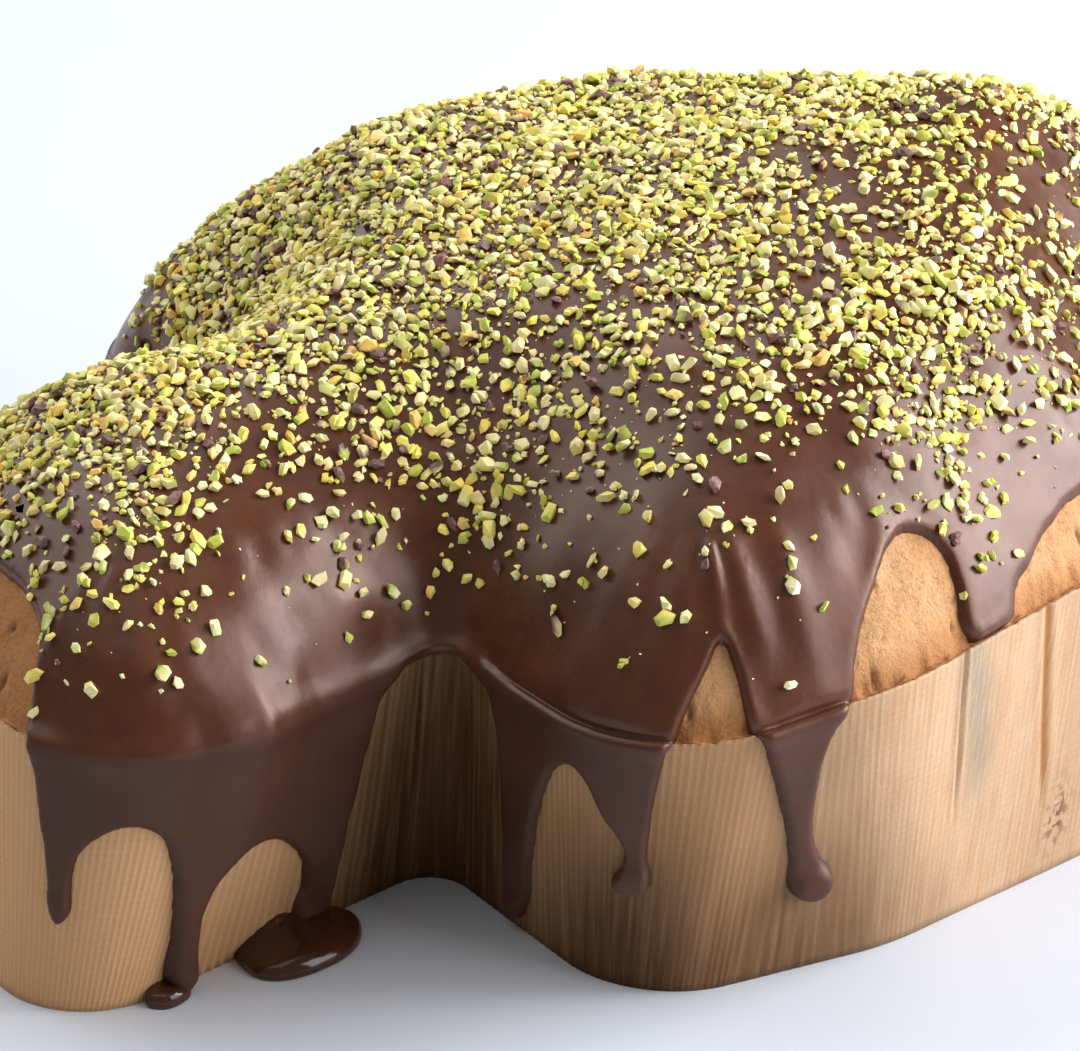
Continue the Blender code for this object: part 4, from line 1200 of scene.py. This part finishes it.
class COLOMBA_OT_loaf(Operator):
    """Builds the loaf, with its crumbly crust where the coat leaves it bare"""

    bl_idname = "colomba.loaf"
    bl_label = "Loaf"

    def execute(self, context):
        """Fine relief near the rim, plain further up under the coat."""
        count = int(RIM_TOTAL / FINE_STEP)
        places = RIM_TOTAL * np.arange(count) / count
        s, p, faces = round_grid(places, -np.array(LOAF_LEVELS))
        points = unrolled(s, p)
        normal = face_normals(points, np.concatenate([faces[:, :3], faces[:, [0, 2, 3]]]))
        normal = np.where((normal[:, 2] < 0)[:, None], -normal, normal)
        coarse = noise_at(points, 7.0, 11.0)
        crumb = noise_at(points, 2.1, 12.0)
        near = 1 - ramp(-p, 1.0, 4.5)
        pores = crust_pores(s, p)
        lift = 0.45 * coarse + 0.26 * crumb + 0.12 * noise_at(points, 0.95, 13.0) - 0.8 * pores - 0.55
        lift += near * (0.5 * crumb + 0.35)
        tuck = unrolled(places, np.full(count, LOAF_TUCK[0]), LOAF_TUCK[1])
        top = len(s) - count
        i = np.arange(count)
        n = (i + 1) % count
        skirt = np.stack([i, n, n + len(s), i + len(s)], axis=1)
        faces = faces.tolist() + [tuple(range(top, top + count))] + skirt.tolist()
        points = np.concatenate([points + normal * lift[:, None], tuck])
        obj = make_piece("dove_loaf", points, faces, crust_paint(context.scene.colomba_looks))
        # Browner crust by the rim and at the listed places, painted shade at the tail's end and in the pores
        toast_and_shade = near * 1.1 + 0.3 * coarse * ramp(-p, 0.0, 9.0)
        for place, across, amount in TOASTED_AND_SHADED:
            toast_and_shade += amount * np.exp(-(from_place(s, place) / across) ** 2)
        bake = np.clip(np.stack([toast_and_shade, pores * 1.1, toast_and_shade * 0], axis=1), 0, 1)
        # The tucked edge is browned and partly shaded with painted pore shade throughout
        add_tone(obj, "bake", np.concatenate([bake, np.tile([1.0, 0.4, 0.0], (count, 1))]))
        settle(obj, "bread_crust", "bread")
        return {"FINISHED"}


class COLOMBA_OT_chocolate(Operator):
    """Builds the chocolate coat with its drips"""

    bl_idname = "colomba.chocolate"
    bl_label = "Chocolate coat"

    def execute(self, context):
        """One skin with a round edge, thick drips and slow swells."""
        sizes = context.scene.colomba_sizes
        points, faces, places, levels, reach = coat_domain()
        sharp = soft_rim(places) < 0.5
        base = relax(points, faces, 9, keep=(np.abs(levels + 0.5) > 4.0) | (reach < 0.2) | sharp)
        base = relax(base, faces, 3, keep=(np.abs(levels) > 5.0) | (reach < 0.2))
        normal = relax(face_normals(base, faces), faces, 3)
        normal /= np.linalg.norm(normal, axis=1)[:, None]
        lumps = coat_lumps(points, places, levels) * sizes.lump_height
        share = ramp(reach, 0.3, 5.0)
        thick = coat_thickness(places, levels, reach, sizes.coat_thickness)
        outer = base + normal * (thick + lumps * share)[:, None]
        outer = relax(outer, faces, 2, keep=(reach < 1.6) | ((np.abs(levels + 0.9) < 1.7) & sharp))
        outer[:, 2] = np.maximum(outer[:, 2], 0.3)
        obj = make_piece("chocolate_coat", outer, faces, chocolate_paint(context.scene.colomba_looks))
        # Painted shade on the coat over the case's wall, weaker along the listed stretch
        lighter = stretch(places % RIM_TOTAL, *LESS_WALL_SHADE)
        add_tone(obj, "wall", ramp(levels, -0.2, 0.8) * (1 - 0.35 * lighter))
        settle(obj, "dark_chocolate", "chocolate_glaze")
        return {"FINISHED"}


def puddle(row, material):
    """A drop of chocolate spread on the table against the case, with a round uneven rim."""
    name, node, place, out, length, depth, high, seed, blunt, landing, rise_by = row
    points = []
    for share, rise in PUDDLE_SECTION:
        for i in range(PUDDLE_SIDES):
            angle = 2 * math.pi * i / PUDDLE_SIDES
            across = math.cos(angle)
            along = math.sin(angle)
            edge = 1 + 0.06 * noise.noise(Vector((across * 1.3, along * 1.3, seed)))
            square = 2 / (blunt if across > 0 else 1.75)
            x = math.copysign(abs(across) ** square, across) * length / 2 * share * edge
            y = out + math.copysign(abs(along) ** (2 / 2.2), along) * depth / 2 * share * edge
            y = max(y, -0.5 + 0.25 * high * rise)
            swell = rise_by * math.exp(-((x - landing) / 4.4) ** 2 - (y / 3.2) ** 2) * min(rise * 2, 1)
            points.append((x, y, high * rise + swell))
    middle = len(points)
    points.append((0.0, out, high))
    ring = range(PUDDLE_SIDES)
    _, _, rows = round_grid(np.zeros(PUDDLE_SIDES), np.zeros(len(PUDDLE_SECTION)))
    faces = rows.tolist() + [(middle, i, (i + 1) % PUDDLE_SIDES) for i in ring]
    faces.append(tuple(middle - 1 - i for i in ring))
    obj = make_piece(name, np.array(points), faces, material)
    foot, normal = FOOT.read(*rim_numbers([place]))
    turn = math.atan2(normal[0, 1], normal[0, 0]) - math.pi / 2
    shift = Matrix.Translation((foot[0, 0] * MM, foot[0, 1] * MM, 0.0))
    obj.data.transform(shift @ Matrix.Rotation(turn, 4, "Z"))
    settle(obj, "dark_chocolate", node)


class COLOMBA_OT_puddles(Operator):
    """Builds the chocolate that ran down to the table"""

    bl_idname = "colomba.puddles"
    bl_label = "Chocolate on the table"

    def execute(self, context):
        """The pool under one drip and the foot of another."""
        material = wet_paint(context.scene.colomba_looks)
        for row in PUDDLES:
            puddle(row, material)
        return {"FINISHED"}


def chopped(rng, corners, size):
    """The hull of a few points on an ellipsoid, with an end and the underside cut flat."""
    mesh = bmesh.new()
    for i in range(corners):
        z = 1 - 2 * (i + 0.5) / corners
        angle = GOLDEN_ANGLE * i + rng.uniform(-0.5, 0.5)
        flat = math.sqrt(max(1 - z * z, 0))
        point = Vector((flat * math.cos(angle), flat * math.sin(angle), z)) * rng.uniform(0.8, 1.14)
        point = Vector(a * b for a, b in zip(point, size))
        point.x = min(point.x, size.x * 0.8)
        point.z = max(point.z, -size.z * 0.7)
        mesh.verts.new(point * 0.5)
    bmesh.ops.convex_hull(mesh, input=mesh.verts)
    loose = [v for v in mesh.verts if not v.link_faces]
    bmesh.ops.delete(mesh, geom=loose, context="VERTS")
    bmesh.ops.triangulate(mesh, faces=mesh.faces)
    bmesh.ops.recalc_face_normals(mesh, faces=mesh.faces)
    mesh.verts.index_update()
    points = np.array([tuple(v.co) for v in mesh.verts])
    faces = np.array([[v.index for v in f.verts] for f in mesh.faces])
    mesh.free()
    return points, faces


def kernel_shapes(rng, count, corners, long, doubles):
    """Chopped kernels: single chunks, and some that hang together in twos."""
    shapes = []
    for _ in range(count):
        size = Vector((rng.uniform(*long), rng.uniform(0.62, 1.0), rng.uniform(0.45, 0.8)))
        points, faces = chopped(rng, corners, size)
        if rng.random() < doubles:
            small = size * rng.uniform(0.6, 0.85)
            more, sides = chopped(rng, corners - 3, small)
            turn = rng.uniform(0, 2 * math.pi)
            shift = np.array([math.cos(turn) * size.x * 0.36, math.sin(turn) * size.y * 0.42, 0.05])
            faces = np.concatenate([faces, sides + len(points)])
            points = np.concatenate([points * 0.85, more * 0.95 + shift])
        shapes.append((points, faces))
    return shapes


class Ground:
    """What the grains fall on: the coat, seen from above and from its sides."""

    def __init__(self, obj):
        mesh = obj.data
        mesh.calc_loop_triangles()
        points = np.zeros(len(mesh.vertices) * 3)
        mesh.vertices.foreach_get("co", points)
        points = points.reshape(-1, 3) / MM
        faces = np.zeros(len(mesh.loop_triangles) * 3, dtype=np.int32)
        mesh.loop_triangles.foreach_get("vertices", faces)
        self.tree = BVHTree.FromPolygons(points.tolist(), faces.reshape(-1, 3).tolist())

    def drop(self, x, y):
        """The point and normal under a place in plan."""
        return self.tree.ray_cast(Vector((x, y, 300.0)), Vector((0, 0, -1)))[:2]


def cover(x, y, depth):
    """How thickly the nuts lie: most on top and behind, thinner towards the near wing's rim."""
    share = 0.10 + 0.80 * ramp(y, -100.0, 12.0)
    share = share * ramp(depth, 0.5, 15.0) * (1 - 0.5 * ramp(y, 60.0, 118.0))
    for px, py, radius, amount in NUT_PATCHES:
        share = share * (1 + (amount - 1) * np.exp(-((x - px) ** 2 + (y - py) ** 2) / radius ** 2))
    return np.clip(share, 0.0, 0.95)


def scatter(rng, ground, count, spacing, clump):
    """Points and normals for grains, none closer to another than spacing allows."""
    tries = np.array([(rng.uniform(*GRAIN_X), rng.uniform(*GRAIN_Y)) for _ in range(count * GRAIN_TRIES)])
    depth = LOAF.depth(tries)
    tries = tries[depth > 0.8]
    share = cover(tries[:, 0], tries[:, 1], LOAF.depth(tries))
    weight = -np.log(1 - share)
    knots = noise_at(np.column_stack([tries, np.zeros(len(tries))]), 7.0, 15.0)
    weight = weight * np.clip(1 + clump * knots, 0.05, 3.0)
    cells = {}
    found = []
    for (x, y), w in zip(tries.tolist(), weight.tolist()):
        if len(found) >= count:
            break
        if rng.random() > w * 0.5:
            continue
        spot, normal = ground.drop(x, y)
        if spot is None or normal.z < STEEPEST or rng.random() > LEVEL_SHARE / normal.z:
            continue
        cell = (int(x / spacing), int(y / spacing), int(spot.z / spacing))
        near = [p for i in (-1, 0, 1) for j in (-1, 0, 1) for k in (-1, 0, 1)
                for p in cells.get((cell[0] + i, cell[1] + j, cell[2] + k), ())]
        if any((p - spot).length < spacing for p in near):
            continue
        cells.setdefault(cell, []).append(spot)
        found.append((spot, normal))
    return found


def shade(color, rng, spread):
    """A colour a little lighter or darker."""
    much = 1 + rng.uniform(-spread, spread)
    return np.array([c * much * (1 + rng.uniform(-0.05, 0.05)) for c in color])


def lay_grains(name, spots, shapes, sizes, rng, kind, material):
    """One mesh of grains, each turned at random on the surface under it."""
    body, cuts, spread = kind
    all_points = []
    all_faces = []
    all_colors = []
    start = 0
    for spot, normal in spots:
        points, faces = shapes[rng.randrange(len(shapes))]
        size = rng.triangular(sizes[0], sizes[1], sizes[0] * 0.6 + sizes[1] * 0.4)
        roll = Matrix.Rotation(rng.gauss(0, 0.5), 3, "X") @ Matrix.Rotation(rng.gauss(0, 0.35), 3, "Y")
        spin = Matrix.Rotation(rng.uniform(0, 2 * math.pi), 3, "Z")
        turn = Vector((0, 0, 1)).rotation_difference(normal).to_matrix() @ spin @ roll
        turned = points @ np.array(turn).T * size
        low = (turned @ np.array(normal)).min()
        lift = np.array(spot) - np.array(normal) * (low + GRAIN_SINK * size * 0.5)
        all_points.append(turned + lift)
        all_faces.append(faces + start)
        start += len(points)
        outside = shade(body, rng, spread)
        cut = shade(rng.choice(cuts), rng, GRAIN_SPREAD)
        way = Vector((rng.gauss(0, 1), rng.gauss(0, 1), rng.gauss(0, 1))).normalized()
        facing = (points / np.linalg.norm(points, axis=1)[:, None]) @ np.array(way)
        share = np.clip(facing * 2.2 - 0.3, 0, 1)[:, None]
        all_colors.append(outside * (1 - share) + cut * share)
    if not all_points:
        return
    obj = make_piece(name, np.concatenate(all_points), np.concatenate(all_faces), material)
    obj.data.set_sharp_from_angle(angle=math.radians(38))
    add_tone(obj, "kernel", np.clip(np.concatenate(all_colors), 0, 1))
    settle(obj, "dark_chocolate", "chocolate_glaze")


class COLOMBA_OT_pistachio(Operator):
    """Scatters the chopped pistachio over the coat"""

    bl_idname = "colomba.pistachio"
    bl_label = "Chopped pistachio"

    def execute(self, context):
        """Large and small grains by colour, then dust."""
        sizes = context.scene.colomba_sizes
        looks = context.scene.colomba_looks
        rng = random.Random(7)
        ground = Ground(bpy.data.objects["chocolate_coat"])
        pale, yellow, green, gold, skin = (tuple(getattr(looks, "kernel_" + kind)) for kind in GRAIN_KINDS)
        kinds = (
            (pale, (yellow, green, pale), GRAIN_SPREAD),
            (yellow, (green, pale), GRAIN_SPREAD),
            (green, (yellow, pale), GRAIN_SPREAD),
            (gold, (gold, pale, skin), GRAIN_SPREAD),
            (skin, (skin, green, pale), SKIN_SPREAD),
        )
        material = nut_paint()
        large = scatter(rng, ground, sizes.large_grains, *LARGE_LIE)
        small = scatter(rng, ground, sizes.small_grains, *SMALL_LIE)
        rng.shuffle(large)
        rng.shuffle(small)
        chunks = kernel_shapes(rng, *CHUNKS)
        bits = kernel_shapes(rng, *BITS)
        shares = np.cumsum([0.0, *GRAIN_KINDS.values()])
        heaps = (("large_", large, chunks, LARGE_SPAN), ("small_", small, bits, SMALL_SPAN))
        for i, word in enumerate(GRAIN_KINDS):
            for prefix, spots, shapes, span in heaps:
                take = spots[int(shares[i] * len(spots)):int(shares[i + 1] * len(spots))]
                lay_grains(prefix + word + "_grains", take, shapes, span, rng, kinds[i], material)
        dust = scatter(rng, ground, sizes.dust_grains, *DUST_LIE)
        specks = kernel_shapes(rng, *SPECKS)
        lay_grains("kernel_dust", dust, specks, DUST_SPAN, rng, kinds[0], material)
        return {"FINISHED"}


def area_light(name, place, aim, size, power, color):
    """A soft rectangular lamp."""
    lamp = bpy.data.lights.new(name, "AREA")
    lamp.shape = "RECTANGLE"
    lamp.size, lamp.size_y = size
    lamp.energy = power
    lamp.color = color
    obj = bpy.data.objects.new(name, lamp)
    obj.location = place
    obj.rotation_euler = (Vector(aim) - Vector(place)).to_track_quat("-Z", "Y").to_euler()
    bpy.context.scene.collection.objects.link(obj)


class COLOMBA_OT_stage(Operator):
    """Builds the floor, the lights and the camera"""

    bl_idname = "colomba.stage"
    bl_label = "Stage"

    def execute(self, context):
        """A pale floor, soft window light from the right, and lamps above and behind."""
        scene = context.scene
        stage = scene.colomba_stage
        paint = Paint("pale_floor", 0.6, 0.2)
        paint.shader.inputs["Base Color"].default_value = (*stage.floor, 1.0)
        mesh = bpy.data.meshes.new("floor")
        corners = [(x * FLOOR_REACH, y * FLOOR_REACH, 0) for x, y in ((-1, -1), (1, -1), (1, 1), (-1, 1))]
        mesh.from_pydata(corners, [], [(0, 1, 2, 3)])
        mesh.materials.append(paint.material)
        floor = bpy.data.objects.new("floor", mesh)
        scene.collection.objects.link(floor)
        scene.view_settings.view_transform = "Standard"
        world = bpy.data.worlds.new("soft_sky")
        world.use_nodes = True
        sky = world.node_tree.nodes["Background"]
        sky.inputs["Color"].default_value = SKY_COLOR
        sky.inputs["Strength"].default_value = stage.sky
        scene.world = world
        for name, place, aim, size, color in LAMPS:
            area_light(name, place, aim, size, getattr(stage, name), color)
        camera = bpy.data.cameras.new("camera")
        camera.sensor_fit = "HORIZONTAL"
        camera.sensor_width = SENSOR_WIDTH
        camera.lens = stage.focal
        camera.clip_start = 0.02
        camera.clip_end = 50.0
        eye = bpy.data.objects.new("camera", camera)
        eye.location = stage.camera_place
        eye.rotation_euler = Vector(stage.camera_aim).to_track_quat("-Z", "Y").to_euler()
        scene.collection.objects.link(eye)
        scene.camera = eye
        return {"FINISHED"}


class COLOMBA_PT_panel(Panel):
    """Lists the pieces and their sizes."""

    bl_label = "Colomba"
    bl_idname = "COLOMBA_PT_panel"
    bl_space_type = "VIEW_3D"
    bl_region_type = "UI"
    bl_category = "Colomba"

    def draw(self, context):
        """Buttons for the pieces, then what a user may change."""
        layout = self.layout
        for operator in OPERATORS:
            layout.operator(operator.bl_idname)
        for group in (context.scene.colomba_sizes, context.scene.colomba_looks, context.scene.colomba_stage):
            box = layout.box()
            for name in group.__annotations__:
                box.prop(group, name)


OPERATORS = (
    COLOMBA_OT_stage,
    COLOMBA_OT_paper_case,
    COLOMBA_OT_loaf,
    COLOMBA_OT_chocolate,
    COLOMBA_OT_puddles,
    COLOMBA_OT_pistachio,
)
GROUPS = (ColombaSizes, ColombaLooks, ColombaStage)


def register():
    """Adds the classes and their settings to Blender."""
    for group in GROUPS + OPERATORS + (COLOMBA_PT_panel,):
        bpy.utils.register_class(group)
    bpy.types.Scene.colomba_sizes = PointerProperty(type=ColombaSizes)
    bpy.types.Scene.colomba_looks = PointerProperty(type=ColombaLooks)
    bpy.types.Scene.colomba_stage = PointerProperty(type=ColombaStage)


def unregister():
    """Takes the classes and their settings out again."""
    del bpy.types.Scene.colomba_stage
    del bpy.types.Scene.colomba_looks
    del bpy.types.Scene.colomba_sizes
    for group in reversed(GROUPS + OPERATORS + (COLOMBA_PT_panel,)):
        bpy.utils.unregister_class(group)


def main():
    """Builds every piece in order."""
    register()
    bpy.ops.colomba.stage()
    bpy.ops.colomba.paper_case()
    bpy.ops.colomba.loaf()
    bpy.ops.colomba.chocolate()
    bpy.ops.colomba.puddles()
    bpy.ops.colomba.pistachio()


if __name__ == "__main__":
    main()
